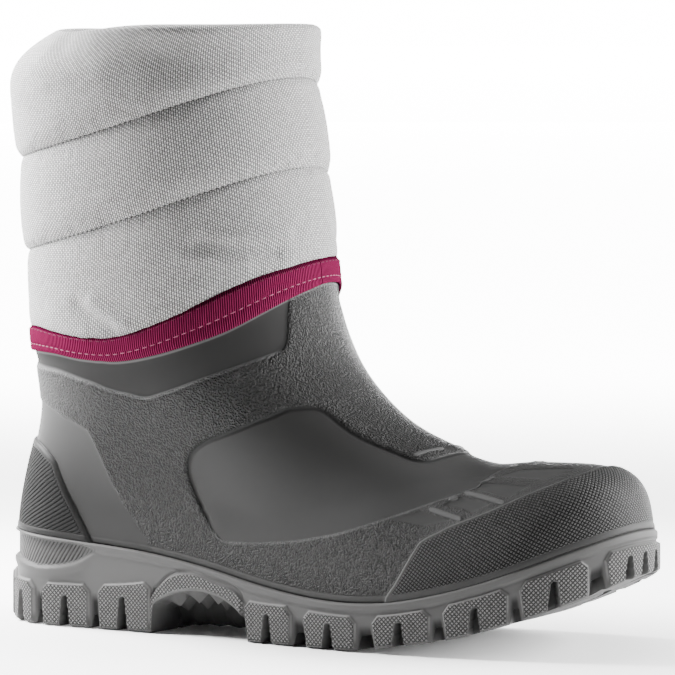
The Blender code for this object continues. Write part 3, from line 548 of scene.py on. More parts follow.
outer_fields = {
    "counter": in_counter, "heel_panel": in_heel_panel, "collar": in_collar, "side": in_side,
    "side_foot": from_side_foot, "bumper": in_bumper, "dips": in_dips, "bars": from_bars,
    "toe": smooth_step(118.0, 128.0, shell_turn) * (1.0 - smooth_step(0.42, 0.5, shell_level)),
    "rear": 1.0 - smooth_step(150.0, 156.0, shell_turn)}
shell_fields = {name: both_walls(within_reach(field)) for name, field in outer_fields.items()}
tape_foot = on_leg(tape_edge(shell_angle, LOWER), shell_angle, 0.0)[..., 2]
under_tape = tape_foot - shell_points[:SHELL_ROWS, :, 2]
shell_fields["under_tape"] = np.concatenate([within_reach(under_tape), blank + FIELD_REACH])
shell_fields["lining"] = np.concatenate([np.zeros((SHELL_ROWS, shell_columns)), blank + 1.0])
shell_map = np.stack([both_walls(shell_along), both_walls(shell_up)], axis=-1)
shell_skin = make_piece(
    "shell_skin", shell_points, "shell_rubber", ("shell",), uv=shell_map, **shell_fields)

# %% [markdown]
# Outsole. It is moulded rubber with knurled lugs round its edge, each cut by a slot, gaps between them, a
# raised arch with teeth under the waist and a ribbed band round the heel. Booleans could cut these out of a
# block. Here its side is one grid, and how far a point stands out from the shell's edge depends on its signed
# distances to lugs and slots.

# %% Lugs round the outsole
# First and last turn of each lug, and the places of its slots along it
LUGS = (
    (3.0, 17.5, (.5,)), (20.0, 33.2, (.5,)), (35.8, 50.4, (.5,)), (52.4, 65.2, (.48,)), (85.3, 95.4, (.5,)),
    (97.4, 108.4, (.5,)), (111.0, 123.0, (.48,)), (125.0, 139.8, (.5,)), (141.6, 159.4, (.5,)),
    (163.6, 196.4, (.28, .5)))
# Turn and height: lug faces over the tread, the heel's wave, the arch's lower and upper edge
LUG_HEIGHT = np.array([
    (0.0, 19.5), (60.0, 19.5), (72.0, 22.5), (85.0, 17.2), (110.0, 17.0), (124.0, 16.8), (150.0, 16.8),
    (180.0, 16.0)])
HEEL_WAVE = np.array([(0.0, 27.0), (20.0, 26.0), (38.0, 23.6), (46.0, 26.0), (53.0, 31.5), (60.0, 34.0)])
ARCH_LOW = np.array([
    (64.8, 8.5), (66.0, 11.6), (68.5, 14.8), (72.5, 17.7), (77.5, 18.2), (80.0, 17.1), (82.3, 15.0),
    (85.2, 9.8), (86.0, 7.0)])
ARCH_TOP = np.array([
    (62.0, 12.0), (65.5, 16.0), (69.0, 22.5), (73.5, 25.4), (79.0, 22.8), (84.2, 18.9), (87.0, 12.5)])
SPRING_SKEW, SKEW_START, SKEW_END = 0.12, 195.0, 262.0
WAVE_END, WAVE_UNDER_EDGE = 54.0, 4.1
# A lug's cut corners and the lean of its rear side, on the heel and further on
LUG_CORNER, HEEL_LEAN, FRONT_LEAN, HEEL_LUGS_END = 3.2, 1.0, 2.2, 70.0
# A slot's half-width, what it widens by at its foot, and how high the widening and the slot reach up the lug
SLOT_HALF, SLOT_FLARE, FLARE_TOP, SLOT_TOP = 1.1, 1.3, 0.6, 0.7
SOLE_HALF_COLUMNS, SOLE_ROWS = 700, 56

sole_turn, sole_along = even_turns(foot_last, 0.0, SOLE_HALF_COLUMNS)
sole_angle = round_angles(sole_turn)
turn, along = mirrored(sole_turn), mirrored(sole_along)
outline, outward = foot_last.at(0.0, sole_angle), foot_last.flat_out(0.0, sole_angle)
edge = outline[:, 2]


def tread_z(points):
    """Height of the tread: flat on the floor, rising at the toe and a little at the back of the heel."""
    skew = SPRING_SKEW * points[..., 1] * smooth_step(SKEW_START, SKEW_END, points[..., 0])
    return np.maximum(sole_z(points[..., 0] + skew, TREAD), 0.0)


tread = tread_z(outline)
wave = np.minimum(curve(turn, HEEL_WAVE), edge - WAVE_UNDER_EDGE)
wave = np.where(turn > WAVE_END, edge - WAVE_UNDER_EDGE, wave)
lug_limit = np.where(turn > WAVE_END, wave - 0.2, wave - 1.4)
lug_top = np.minimum(tread + curve(turn, LUG_HEIGHT), lug_limit) - tread


def place_along(at):
    """Distance along the sole's edge at a turn, going on past the toe."""
    reach = np.interp(min(at, 360.0 - at), sole_turn, sole_along)
    return reach if at <= 180.0 else 2 * sole_along[-1] - reach


def lug_distances(up):
    """Signed distances to the nearest lug's face and to the nearest slot, negative inside them.

    A face is the overlap of half-planes: sides, top and two cut corners. A slot widens downward and ends
    in a round roof.
    """
    to_face, to_slot = np.full(up.shape, np.inf), np.full(up.shape, np.inf)
    for start, end, slots in LUGS:
        first, last = place_along(start), place_along(end)
        lean = (HEEL_LEAN if end < HEEL_LUGS_END else FRONT_LEAN) * np.clip(1.0 - up / lug_top, 0.0, 1.0)
        rear, front = first + lean - along, np.broadcast_to(along - last, up.shape)
        top = up - lug_top
        corners = [(top + side + LUG_CORNER) / 1.41 for side in (rear, front)]
        to_face = np.minimum(to_face, np.max([rear, front, top, *corners], axis=0))
        for share in slots:
            half = SLOT_HALF + SLOT_FLARE * np.clip(1.0 - up / (FLARE_TOP * lug_top), 0.0, 1.0)
            off = along - (first + (last - first) * share)
            over = up - SLOT_TOP * lug_top
            round_roof = np.hypot(off, np.maximum(over + SLOT_HALF, 0.0)) - SLOT_HALF
            to_slot = np.minimum(to_slot, np.where(over > -SLOT_HALF, round_roof, np.abs(off) - half))
    return to_face, to_slot


foot_face, _ = lug_distances(np.full_like(tread, 1.5))
in_gap = smooth_step(0.1, 1.6, foot_face)
in_arch = window((64.6, 65.8), (84.8, 85.6), turn)
gap_roof = np.minimum(5.5, 0.8 * (lug_top - 2.4))
arch_roof = np.maximum(curve(turn, ARCH_LOW) - tread, 2.0)
roof = np.where((turn > 60.0) & (turn < 90.0), arch_roof, gap_roof)
print("lugs:", 2 * len(LUGS) - 1, "gaps cover", round(float(in_gap.mean()), 2), "of the edge")

# %% Outsole's side
# How far wall, flange and lugs stand out from the shell's edge, and how deep gaps and slots are cut
WALL_OUT, HEEL_WALL_IN, FLANGE_OUT, LUG_OUT, GAP_DEPTH, SLOT_DEPTH = 2.0, 0.5, 2.4, 3.5, 1.0, 5.0
FLANGE_THICK, HEEL_THINNER, FLANGE_ROUND, LUG_ROUND = 3.2, 2.2, 0.7, 1.6
WAVE_BEAD, BAND_DEPTH, FLANGE_GROOVE, ARCH_STEP, ARCH_GROOVE = 1.0, 0.8, 0.2, 1.3, 0.6

row_share = np.linspace(0.0, 1.0, SOLE_ROWS)[:, None]
side_z = tread + row_share * (edge - tread) + in_gap * roof * (1.0 - row_share) ** (2.0 - in_arch)
up, under_edge = side_z - tread, edge - side_z
face, cut = lug_distances(up)
heel = 1.0 - smooth_step(47.0, WAVE_END, turn)
over_wave = smooth_step(-0.5, 0.5, side_z - wave)
under_arch = curve(turn, ARCH_TOP) - side_z

wave_bead = WAVE_BEAD * bead(side_z - wave, -1.6, 2.2) * (1.0 - over_wave)
wall = WALL_OUT - HEEL_WALL_IN * heel + heel * (wave_bead - BAND_DEPTH * over_wave)
flange_thick = FLANGE_THICK - HEEL_THINNER * heel
flange = 1.0 - smooth_step(flange_thick - 0.5, flange_thick + 0.3, under_edge)
wall = wall + (FLANGE_OUT - wall) * flange - FLANGE_ROUND * np.clip(1.0 - under_edge / 0.8, 0.0, 1.0) ** 2
wall = wall - FLANGE_GROOVE * bead(under_edge, FLANGE_THICK + 0.9, 0.5) * (1.0 - heel)
wall = wall + ARCH_STEP * smooth_step(0.0, 0.9, under_arch) * in_arch
wall = wall - ARCH_GROOVE * bead(-under_arch, 1.0, 0.7) * in_arch
gap_depth = smooth_step(0.0, 1.5, face) * smooth_step(3.5, 8.0, lug_top - up) * (1.0 - in_arch)
on_lug = smooth_step(0.0, 1.1, -face)
in_slot = smooth_step(-0.3, 0.4, -cut) * on_lug
lug_face = LUG_OUT - LUG_ROUND * np.clip(1.0 - up / 1.6, 0.0, 1.0) ** 2
side_out = wall - GAP_DEPTH * gap_depth
side_out = side_out + (lug_face - side_out) * on_lug - SLOT_DEPTH * in_slot
print("sole's side stands out", side_out.min().round(2), "to", side_out.max().round(2), "mm")

# %% Outsole's underside and piece
SEAT_IN, FOOTBED_IN, GAP_REACH, TOOTH_PITCH = 6.0, 6.5, 8.0, 9.5
# Rings under the sole: distance in from the edge, share of the arch's height that hangs down there, share
# that its teeth add, and 1 for the long groove
UNDER_ROWS = (
    (1.2, .0, .0, 0), (2.4, .03, .0, 0), (6.0, .10, .22, 0), (8.0, .08, .05, 0), (11.5, .24, .24, 0),
    (13.5, .2, .08, 0), (15.5, .45, .25, 0), (16.6, .6, .2, 1), (19.0, .86, .04, 0))


def sole_ring(out, z):
    """The shell's lower edge moved outward, at its own heights."""
    flat = (outline + outward * np.asarray(out)[..., None])[..., :2]
    return np.concatenate([flat, np.asarray(z)[..., None]], axis=-1)


teeth = 1.0 - np.abs((along / TOOTH_PITCH) % 1.0 - 0.5) * 2.0
in_teeth = window((66.0, 68.0), (82.5, 84.5), turn)
under_out, under_rings, under_painted_shade = side_out[0], [], []
for inset, drop, tooth, groove in UNDER_ROWS:
    under_out = np.minimum(-inset, under_out - 0.2)
    ring = sole_ring(under_out, edge)
    open_share = np.maximum(in_gap * (1.0 if inset < GAP_REACH else in_arch), groove)
    hanging = in_arch * (drop + in_teeth * tooth * teeth)
    ring[:, 2] = tread_z(ring) + open_share * roof * (1.0 - hanging)
    under_rings.append(ring)
    # Darker rings where gaps open and deep under the arch: painted shade.
    under_painted_shade.append(0.9 * in_gap * (1.0 - in_arch * (1.0 - smooth_step(5.0, 14.0, inset))))
seat = [
    sole_ring(np.full_like(edge, -SEAT_IN), edge),
    sole_ring(np.full_like(edge, -FOOTBED_IN), sole_z(outline[:, 0], FOOTBED))]
sole_points = np.concatenate([under_rings[::-1], sole_ring(side_out, side_z), seat])
sole_rows, sole_columns = sole_points.shape[:2]


def on_side(values, rest=0.0):
    """A field of the sole's side, with one value below and above it."""
    field = np.full((sole_rows, sole_columns), rest)
    field[len(under_rings):len(under_rings) + SOLE_ROWS] = within_reach(values)
    return field


# Gaps and slots darkened in the colour: painted shade.
sole_hollow = on_side(np.maximum(gap_depth, in_slot))
sole_hollow[:len(under_rings)] = under_painted_shade[::-1]
sole_map = np.stack([np.broadcast_to(along, (sole_rows, sole_columns)), sole_points[..., 2]], axis=-1)
outsole_skin = make_piece(
    "outsole_skin", sole_points, "outsole_rubber", ("outsole",), capped_faces(sole_rows, sole_columns),
    uv=sole_map, crease=42.0, face=on_side(face, FIELD_REACH), cut=on_side(cut, FIELD_REACH),
    wave=on_side(side_z - wave), under=on_side(under_edge), arch=on_side(under_arch, -FIELD_REACH),
    waist=on_side(in_arch), heel=on_side(heel), rise=on_side(side_z - side_z[0]), hollow=sole_hollow)

# %% [markdown]
# Insole. A felt board lies loose on the footbed. It shows only through the opening, so it is one bevelled
# sheet cut to the outline of the sole.

# %% Insole piece
# Distance in from the shell's edge and height over the footbed, from the board's underside to its top
INSOLE_EDGE = ((9.0, 0.0), (7.6, 0.3), (7.2, 0.9), (7.2, 3.0), (7.5, 3.6), (8.4, 4.0), (12.0, 4.2))
insole_angle = round_angles(even_turns(foot_last, 0.0, 161)[0])
insole_outline = foot_last.at(0.0, insole_angle)
insole_outward = foot_last.flat_out(0.0, insole_angle)
insole_low = sole_z(insole_outline[:, 0], FOOTBED) + SEAT_GAP
insole_points = np.stack([
    np.column_stack([(insole_outline - inset * insole_outward)[:, :2], insole_low + rise])
    for inset, rise in INSOLE_EDGE])
insole_faces = capped_faces(len(INSOLE_EDGE), len(insole_angle))
insole_felt = make_piece("insole_felt", insole_points, "insole_felt", ("insole",), insole_faces)

# %% [markdown]
# Padded shaft. On the real boot it is woven nylon over foam, with a lining, sewn through along two seams so
# that it swells into three tubes. A sculpted tube would do, but a formula keeps the seams exact: the swell
# rises from each seam as part of an ellipse, fuller low down. The collar is left open at the top, rolls
# forward at the back and rises a little on the outer side.

# %% Shaft's form
SEAMS = (0.06, 0.4, 0.7, 1.0)
FULLNESS = (1.7, 1.9, 2.4)
SEAM_DEPTH, LOW_SHOULDER, HIGH_SHOULDER, TUCK, TAPE_OVER = 1.3, 0.3, 0.6, 2.0, 0.006
SHAFT_WALL, RIM_ROUND = 6.0, 2.6
ROLL_FORWARD, ROLL_HEIGHT, ROLL_POWER = 26.0, 25.0, 2.4
RIM_LIFT, RIM_LIFT_TURN, RIM_LIFT_REACH = 2.6, 92.0, 32.0
SHAFT_COLUMNS = 480
shaft_angle = np.arange(SHAFT_COLUMNS) * 360.0 / SHAFT_COLUMNS


def tube_swell(level, angle):
    """Outward swell of the padded tubes: parts of ellipses from the tape and the sunk seams."""
    swell = np.zeros(np.broadcast_shapes(np.shape(level), np.shape(angle)))
    starts = (tape_edge(angle, UPPER) - TAPE_OVER, *SEAMS[1:])
    for low, high, fullness in zip(starts, SEAMS[1:], FULLNESS):
        share = np.clip((level - low) / (high - low), 0.0, 1.0)
        from_low, from_high = share / LOW_SHOULDER, (1.0 - share) / HIGH_SHOULDER
        sunk = np.where((high == SEAMS[1]) & (share < 0.5), 0.0, SEAM_DEPTH)
        shoulder = np.minimum(from_low if high == SEAMS[-1] else np.minimum(from_low, from_high), 1.0)
        bow = (fullness + sunk) * np.sqrt(1.0 - (1.0 - shoulder) ** 2) - sunk
        swell = swell + bow * ((level > low) & (level <= high))
    return swell - TUCK * (1.0 - smooth_step(0.4, 0.8, level / tape_edge(angle, UPPER)))


def plain_shaft(level, angle):
    """The shaft without its quilting: the last, moved forward and up near the rim.

    The move grows towards the rim by a power: forward most at the back, upward on the outer side.
    """
    base, rim = leg_last.at(level, angle), leg_last.at(1.0, angle)
    share = np.clip((base[..., 2] - rim[..., 2] + ROLL_HEIGHT) / ROLL_HEIGHT, 0.0, 1.0)
    forward = ROLL_FORWARD * (1.0 + np.cos(np.radians(angle))) / 2.0 * share**ROLL_POWER
    upward = RIM_LIFT * bead(np.asarray(angle) % 360.0, RIM_LIFT_TURN, RIM_LIFT_REACH) * share
    return base + np.stack([forward, np.zeros_like(forward), upward], axis=-1)


def quilted_shaft(level, angle):
    """Outer face of the shaft with its tubes swollen."""
    return plain_shaft(level, angle) + leg_last.flat_out(level, angle) * tube_swell(level, angle)[..., None]


tube_rows = [low + (high - low) * eased(46)[:-1] for low, high in zip(SEAMS[:-2], SEAMS[1:-1])]
rim_ease = (1.0 - np.cos(np.linspace(0.0, np.pi / 2, 52))) ** 0.9
rim_rows = SEAMS[-2] + (SEAMS[-1] - SEAMS[-2]) * rim_ease
shaft_level = np.concatenate([np.linspace(0.0, 0.045, 4), *tube_rows, rim_rows])[:, None]
plump_shaft = quilted_shaft(shaft_level, shaft_angle)
print("shaft rows:", len(shaft_level))

# %% [markdown]
# Cloth. Sewing gathers the cover a little, so it puckers along the seams, and wear leaves a few longer
# creases. The puckers come from a cloth simulation of the cover, held at tape, seams and rim, a little too
# large for its frame and blown up from inside. The longer creases are placed where the photo shows them,
# because a simulation would put them anywhere.

# %% Puckers by cloth simulation
TRIAL_SCALE, TRIAL_COLUMNS, TRIAL_ROWS, TRIAL_FRAMES = 0.01, 240, 23, 24
SPARE_CLOTH, AIR_PRESSURE = 0.012, 0.4


def cloth_trial(points, held):
    """Points of a band of rings after a cloth simulation. Rows in held stay where they are."""
    rows, columns = points.shape[:2]
    mesh = bpy.data.meshes.new("trial")
    faces = grid_faces(rows, columns, closed=False)
    mesh.from_pydata((points * TRIAL_SCALE).reshape(-1, 3).tolist(), [], faces.tolist())
    trial, scene = add_object("trial", mesh), bpy.context.scene
    index = np.arange(rows * columns).reshape(rows, columns)
    trial.vertex_groups.new(name="held").add(index[held].ravel().tolist(), 1.0, "REPLACE")
    modifier = trial.modifiers.new("cloth", "CLOTH")
    modifier.point_cache.frame_start, modifier.point_cache.frame_end = 1, TRIAL_FRAMES
    cloth = modifier.settings
    cloth.quality, cloth.mass, cloth.vertex_group_mass = 6, 0.3, "held"
    cloth.tension_stiffness = cloth.compression_stiffness = 15.0
    cloth.shear_stiffness, cloth.bending_stiffness = 5.0, 0.2
    cloth.shrink_min, cloth.effector_weights.gravity = -SPARE_CLOTH, 0.0
    cloth.use_pressure, cloth.uniform_pressure_force = True, AIR_PRESSURE
    for number in range(1, TRIAL_FRAMES + 1):
        scene.frame_set(number)
    settled = np.empty(rows * columns * 3, dtype=np.float32)
    trial.evaluated_get(bpy.context.evaluated_depsgraph_get()).data.vertices.foreach_get("co", settled)
    bpy.data.objects.remove(trial)
    bpy.data.meshes.remove(mesh)
    scene.frame_set(1)
    return settled.reshape(points.shape) / TRIAL_SCALE


trial_share = np.linspace(0.0, 1.0, TRIAL_ROWS + 1)[:-1]
trial_tubes = [low + (high - low) * trial_share for low, high in zip(SEAMS, SEAMS[1:])]
trial_level = np.concatenate([*trial_tubes, SEAMS[-1:]])
trial_angle = np.arange(TRIAL_COLUMNS) * 360.0 / TRIAL_COLUMNS
trial_start = quilted_shaft(trial_level[:, None], trial_angle)
puckers = np.zeros(trial_start.shape[:2])
moved = cloth_trial(trial_start, np.isin(trial_level, SEAMS)) - trial_start
puckers = (moved * grid_normals(trial_start)).sum(axis=-1)
puckers -= puckers.mean(axis=1, keepdims=True)
print("puckers:", np.percentile(puckers, [1, 10, 50, 90, 99]).round(2), "mm")

# %% Creases, placed one by one
# Middle line as turns and levels, height in millimetres (below zero: a trough) and half-width
CREASES = (
    (((66, .985), (82, .965), (98, .94), (116, .90)), -2.2, 8.0),
    (((60, .93), (74, .90), (92, .88)), 0.9, 8.0),
    (((126, .265), (136, .23), (146, .19), (157, .15)), -1.5, 3.0),
    (((134, .262), (148, .232), (163, .205)), 1.2, 2.8),
    (((120, .24), (132, .205), (144, .16)), 1.0, 3.2),
    (((75, .20), (82, .155), (90, .108)), -1.4, 2.8),
    (((83, .20), (90, .155), (97, .108)), 1.2, 2.8),
    (((60, .18), (70, .14), (78, .108)), 0.6, 3.0),
    (((196, .22), (212, .17), (226, .12)), -0.9, 3.0),
    (((250, .52), (268, .55), (286, .60)), -0.8, 5.0),
    (((300, .27), (286, .21), (276, .13)), -1.0, 3.0),
    (((262, .95), (280, .92), (298, .93)), -1.3, 8.0),
    (((20, .20), (8, .15), (-6, .115)), -0.9, 3.0))
# Most that a pucker stands out, the share of it that is left away from the seams, and how far it fades
PUCKER, PUCKER_REST, PUCKER_REACH = 0.8, 0.35, 0.09
trial_row = np.interp(shaft_level, trial_level, np.arange(len(trial_level)))
folds = read_grid(puckers[..., None], trial_row, shaft_angle * TRIAL_COLUMNS / 360.0)[..., 0]
from_seam = np.min([np.abs(shaft_level - seam) for seam in SEAMS[:3]], axis=0)
pucker_share = PUCKER_REST + (1.0 - PUCKER_REST) * bead(from_seam, 0.0, PUCKER_REACH)
folds = PUCKER * np.tanh(folds / PUCKER) * pucker_share * (shaft_level > SEAMS[0])
for places, height, width in CREASES:
    drawn = rounded(places)
    away = line_distance(plump_shaft, quilted_shaft(drawn[:, 1], drawn[:, 0]))
    folds = folds + height * bead(away, 0.0, width) * smooth_step(0.0, 0.03, from_seam)
shaft_outside = plump_shaft + leg_last.flat_out(shaft_level, shaft_angle) * folds[..., None]
print("folds reach", folds.min().round(2), "to", folds.max().round(2), "mm")

# %% Shaft piece
# Pitch of the threads across and up
WARP, WEFT = 0.98, 0.84
LINING_ROWS = np.array([200, 197, 192, 184, 176, 166, 154, 140, 120, 100, 80, 60, 40, 20, 0])
RIM_BOW = np.radians([20.0, 45.0, 70.0, 90.0, 110.0, 135.0, 160.0])[:, None, None]
FACED_RIM_ROWS = 5
dense_shaft = plain_shaft(np.linspace(0.0, 1.0, LINING_ROWS[0] + 1)[:, None], shaft_angle)
shaft_inside = (dense_shaft - SHAFT_WALL * grid_normals(dense_shaft))[LINING_ROWS]
rim_middle = (shaft_outside[-1] + shaft_inside[0]) / 2
rim_rise = unit(shaft_outside[-1] - shaft_outside[-3]) * RIM_ROUND
rim_bow = rim_middle + np.cos(RIM_BOW) * (shaft_outside[-1] - rim_middle) + np.sin(RIM_BOW) * rim_rise
shaft_points = np.concatenate([shaft_outside, rim_bow, shaft_inside]) + SHAFT_SEAT
shaft_along = run_lengths(leg_last.at(0.5, shaft_angle))
shaft_up = run_lengths(shaft_points)
shaft_folded = np.minimum(shaft_along, shaft_along[SHAFT_COLUMNS // 2] * 2 - shaft_along)
half_round = shaft_folded.max()
shaft_threads = shaft_folded * WARP * round(half_round / WARP) / half_round
shaft_map = np.stack([np.broadcast_to(shaft_threads, shaft_up.shape), shaft_up], axis=-1)
shaft_lining = np.zeros(shaft_up.shape)
shaft_lining[len(shaft_level) + FACED_RIM_ROWS:] = 1.0
seam_rows = [np.searchsorted(shaft_level[:, 0], seam) for seam in SEAMS[1:3]]
seam_distance = np.min([np.abs(shaft_up - shaft_up[row]) for row in seam_rows], axis=0)
shaft_pad = make_piece(
    "shaft_pad", shaft_points, "shaft_fabric", ("shaft",), uv=shaft_map,
    lining=shaft_lining, seam=within_reach(seam_distance))

# %% [markdown]
# Binding tape. A ribbed woven tape is folded over the raw edge where shell and shaft meet and sewn down near
# both of its edges. It is a thin closed band with a shallow stitch line and a fold pressed into it. A flat
# strip with Solidify would do too, but its crowned edges would be lost.

# %% Tape piece
TAPE_GAP, TAPE_THICK, TAPE_EDGE_SHARE, TAPE_WIDTH = 0.3, 1.3, 0.45, 10.0
# Places across the tape of its stitch line and its fold, and how deep they are pressed in
TAPE_STITCH, TAPE_FOLD, STITCH_PRESS, FOLD_PRESS = 0.27, 0.9, 0.4, 0.5
tape_turn, tape_along = even_turns(leg_last, 0.05, 361)
tape_angle = round_angles(tape_turn)


def on_tape(across, angle):
    """Points on the tape's face, from its lower edge at 0 to its upper edge at 1."""
    crown = (1.0 - np.abs(2.0 * across - 1.0) ** 6) ** 0.5
    fold = smooth_step(TAPE_FOLD - 0.02, TAPE_FOLD + 0.02, across)
    press = STITCH_PRESS * bead(across, TAPE_STITCH, 0.05) + FOLD_PRESS * fold
    thick = TAPE_THICK * (TAPE_EDGE_SHARE + (1.0 - TAPE_EDGE_SHARE) * crown)
    low, high = tape_edge(angle, LOWER), tape_edge(angle, UPPER)
    return on_leg(low + (high - low) * across, angle, TAPE_GAP + thick - press)


face_across = eased(30)[:, None]
back_level = np.stack([tape_edge(tape_angle, UPPER), tape_edge(tape_angle, LOWER)])
tape_points = np.concatenate([on_tape(face_across, tape_angle), on_leg(back_level, tape_angle, TAPE_GAP)])
tape_across = np.concatenate([face_across, [[1.0], [0.0]]]) * np.ones(len(tape_angle))
tape_map = np.stack([
    np.broadcast_to(mirrored(tape_along), tape_across.shape), tape_across * TAPE_WIDTH], axis=-1)
tape_band = make_piece(
    "tape_band", tape_points, "tape_fabric", ("binding_tape",), uv=tape_map, across=tape_across)

# %% [markdown]
# Stitches. Thread shows as short dashes on the tape and as pale dots down in the shaft's dark seams. Curves
# with a bevel would cost more faces. Here each stitch is a small ellipsoid laid along its line, and all the
# stitches of a seam are one array of points.

# %% Stitches


def stitch_piece(name, slot, rows):
    """Ellipsoids along lines: each row gives middles, directions along and outward, and three half-sizes."""
    ring = np.radians(np.arange(0.0, 360.0, 45.0))
    rise = np.radians([-90.0, -50.0, 0.0, 50.0, 90.0])[:, None]
    ball = [np.sin(rise), np.cos(rise) * np.cos(ring), np.cos(rise) * np.sin(ring)]
    ball = np.stack(np.broadcast_arrays(*ball), axis=-1)
    ball = np.concatenate([ball[:1, 0], ball[1:-1].reshape(-1, 3), ball[-1:, 0]])
    points = []
    for middle, ahead, outward, sizes in rows:
        sideways = np.cross(outward, ahead)
        axes = np.stack([ahead * sizes[0], sideways * sizes[1], outward * sizes[2]], axis=1)
        points.append(middle[:, None] + np.einsum("pa,nax->npx", ball, axes))
    points = np.concatenate(points)
    count, per, n = len(points), len(ball), len(ring)
    here, after = 1 + np.arange(n), 1 + np.roll(np.arange(n), -1)
    bottom = np.column_stack([np.zeros(n, dtype=int), after, here])
    top = np.column_stack([np.full(n, per - 1), 2 * n + here, 2 * n + after])
    band = np.column_stack([here, after, n + after, n + here])
    shift = (np.arange(count) * per)[:, None, None]
    faces = [(block + shift).reshape(-1, block.shape[1]) for block in (bottom, band, band + n, top)]
    return make_piece(name, points, slot, faces=faces)


def stitch_row(place, pitch, sizes):
    """Middles and directions of stitches at even distances along a line, given as a point for each angle."""
    turns = np.linspace(0.0, 180.0, 2401)
    run = run_lengths(place(turns))
    count = int(run[-1] / pitch)
    half = np.interp((np.arange(count) + 0.5) * run[-1] / count, run, turns)
    angle = np.concatenate([half, 360.0 - half[::-1]])
    ahead = unit(place(angle + 0.5) - place(angle - 0.5))
    outward = leg_last.flat_out(0.1, angle)
    outward = unit(outward - ahead * (outward * ahead).sum(-1, keepdims=True))
    return place(angle), ahead, outward, sizes


def tape_line(across):
    """A line along the tape's face."""
    return lambda angle: on_tape(across, angle)


def seam_line(level):
    """The line down in a seam of the shaft."""
    return lambda angle: quilted_shaft(level, angle) + SHAFT_SEAT


TAPE_PITCH, SEAM_PITCH, UNDER_FOLD = 3.5, 2.4, 0.04
tape_row = stitch_row(tape_line(TAPE_STITCH), TAPE_PITCH, (1.15, 0.3, 0.35))
fold_row = stitch_row(tape_line(TAPE_FOLD - UNDER_FOLD), TAPE_PITCH, (1.0, 0.22, 0.2))
seam_stitch_rows = [stitch_row(seam_line(seam), SEAM_PITCH, (0.75, 0.36, 0.5)) for seam in SEAMS[1:3]]
tape_stitches = stitch_piece("tape_stitches", "tape_fabric", [tape_row])
fold_stitches = stitch_piece("fold_stitches", "tape_fabric", [fold_row])
seam_stitches = stitch_piece("seam_stitches", "shaft_fabric", seam_stitch_rows)

# %% [markdown]
# Materials. All are built from maths on each piece's own map in millimetres and on its point fields, so that
# a pattern keeps its pitch on the object. Painted pictures would do the same, but could not be read as
# numbers. A small class lets the maths be written as plain expressions.

# %% Node arithmetic


class Sock:
    """An output of a shader node. Arithmetic on it adds Math nodes, and node() adds any other node."""

    def __init__(self, tree, socket):
        self.tree, self.socket = tree, socket

    def node(self, kind, settings, inputs, output=0):
        """A new node: its settings first, then values or links of its inputs, by name or number."""
        made = self.tree.nodes.new(kind)
        for name, value in settings.items():
            setattr(made, name, value)
        for name, value in inputs.items():
            if isinstance(value, Sock):
                self.tree.links.new(value.socket, made.inputs[name])
            else:
                made.inputs[name].default_value = value
        return Sock(self.tree, made.outputs[output])

    def maths(self, operation, *values):
        """A Math node on values or sockets."""
        return self.node("ShaderNodeMath", {"operation": operation}, dict(enumerate(values)))

    def __add__(self, other):
        return self.maths("ADD", self, other)

    def __sub__(self, other):
        return self.maths("SUBTRACT", self, other)

    def __rsub__(self, other):
        return self.maths("SUBTRACT", other, self)

    def __mul__(self, other):
        return self.maths("MULTIPLY", self, other)

    def __truediv__(self, other):
        return self.maths("DIVIDE", self, other)

    __radd__, __rmul__ = __add__, __mul__

    def field(self, name):
        """A point field of the piece."""
        return self.node("ShaderNodeAttribute", {"attribute_name": name}, {}, output="Fac")

    def whole(self):
        """The whole number at or under this value."""
        return self.maths("FLOOR", self)

    def zigzag(self, pitch):
        """A triangle wave of a pitch: 0 at each whole pitch, 1 half-way."""
        return self.maths("PINGPONG", self / (pitch / 2), 1.0)

    def least(self, other):
        """The smaller of two values."""
        return self.maths("MINIMUM", self, other)

    def most(self, other):
        """The larger of two values."""
        return self.maths("MAXIMUM", self, other)

    def near(self, middle, width):
        """1 at a value, falling softly to 0 at a width from it."""
        return self.maths("ABSOLUTE", self - middle).ramp(width, 0.0)

    def ramp(self, low, high):
        """0 at low, 1 at high, softly between."""
        ends = {"Value": self, "From Min": low, "From Max": high}
        return self.node("ShaderNodeMapRange", {"interpolation_type": "SMOOTHSTEP"}, ends)

    def noise(self, size, detail=2.0):
        """Noise at these coordinates, with grains of a size in millimetres."""
        return self.node(
            "ShaderNodeTexNoise", {}, {"Vector": self, "Scale": 1.0 / (size * MM), "Detail": detail})

    def mix(self, first, second):
        """A colour between two, by this value."""
        return self.node("ShaderNodeMix", {"data_type": "RGBA"}, {0: self, 6: first, 7: second}, output=2)


def grey(value, warm=0.0):
    """A grey, a little warm if asked."""
    return (value * (1 + warm), value, value * (1 - warm), 1.0)


def new_material(name, *pieces):
    """A material on pieces. Returns its shader, object coordinates in metres and the map's two axes."""
    material = bpy.data.materials.new(name)
    material.use_nodes = True
    tree = material.node_tree
    for piece in pieces:
        piece.data.materials.append(material)
    shader = tree.nodes["Principled BSDF"]
    start = Sock(tree, None)
    where = start.node("ShaderNodeTexCoord", {}, {}, output="Object")
    flat = start.node("ShaderNodeUVMap", {"uv_map": "millimetres"}, {})
    axes = [start.node("ShaderNodeSeparateXYZ", {}, {0: flat}, output=n) for n in (0, 1)]
    return shader, where, *axes


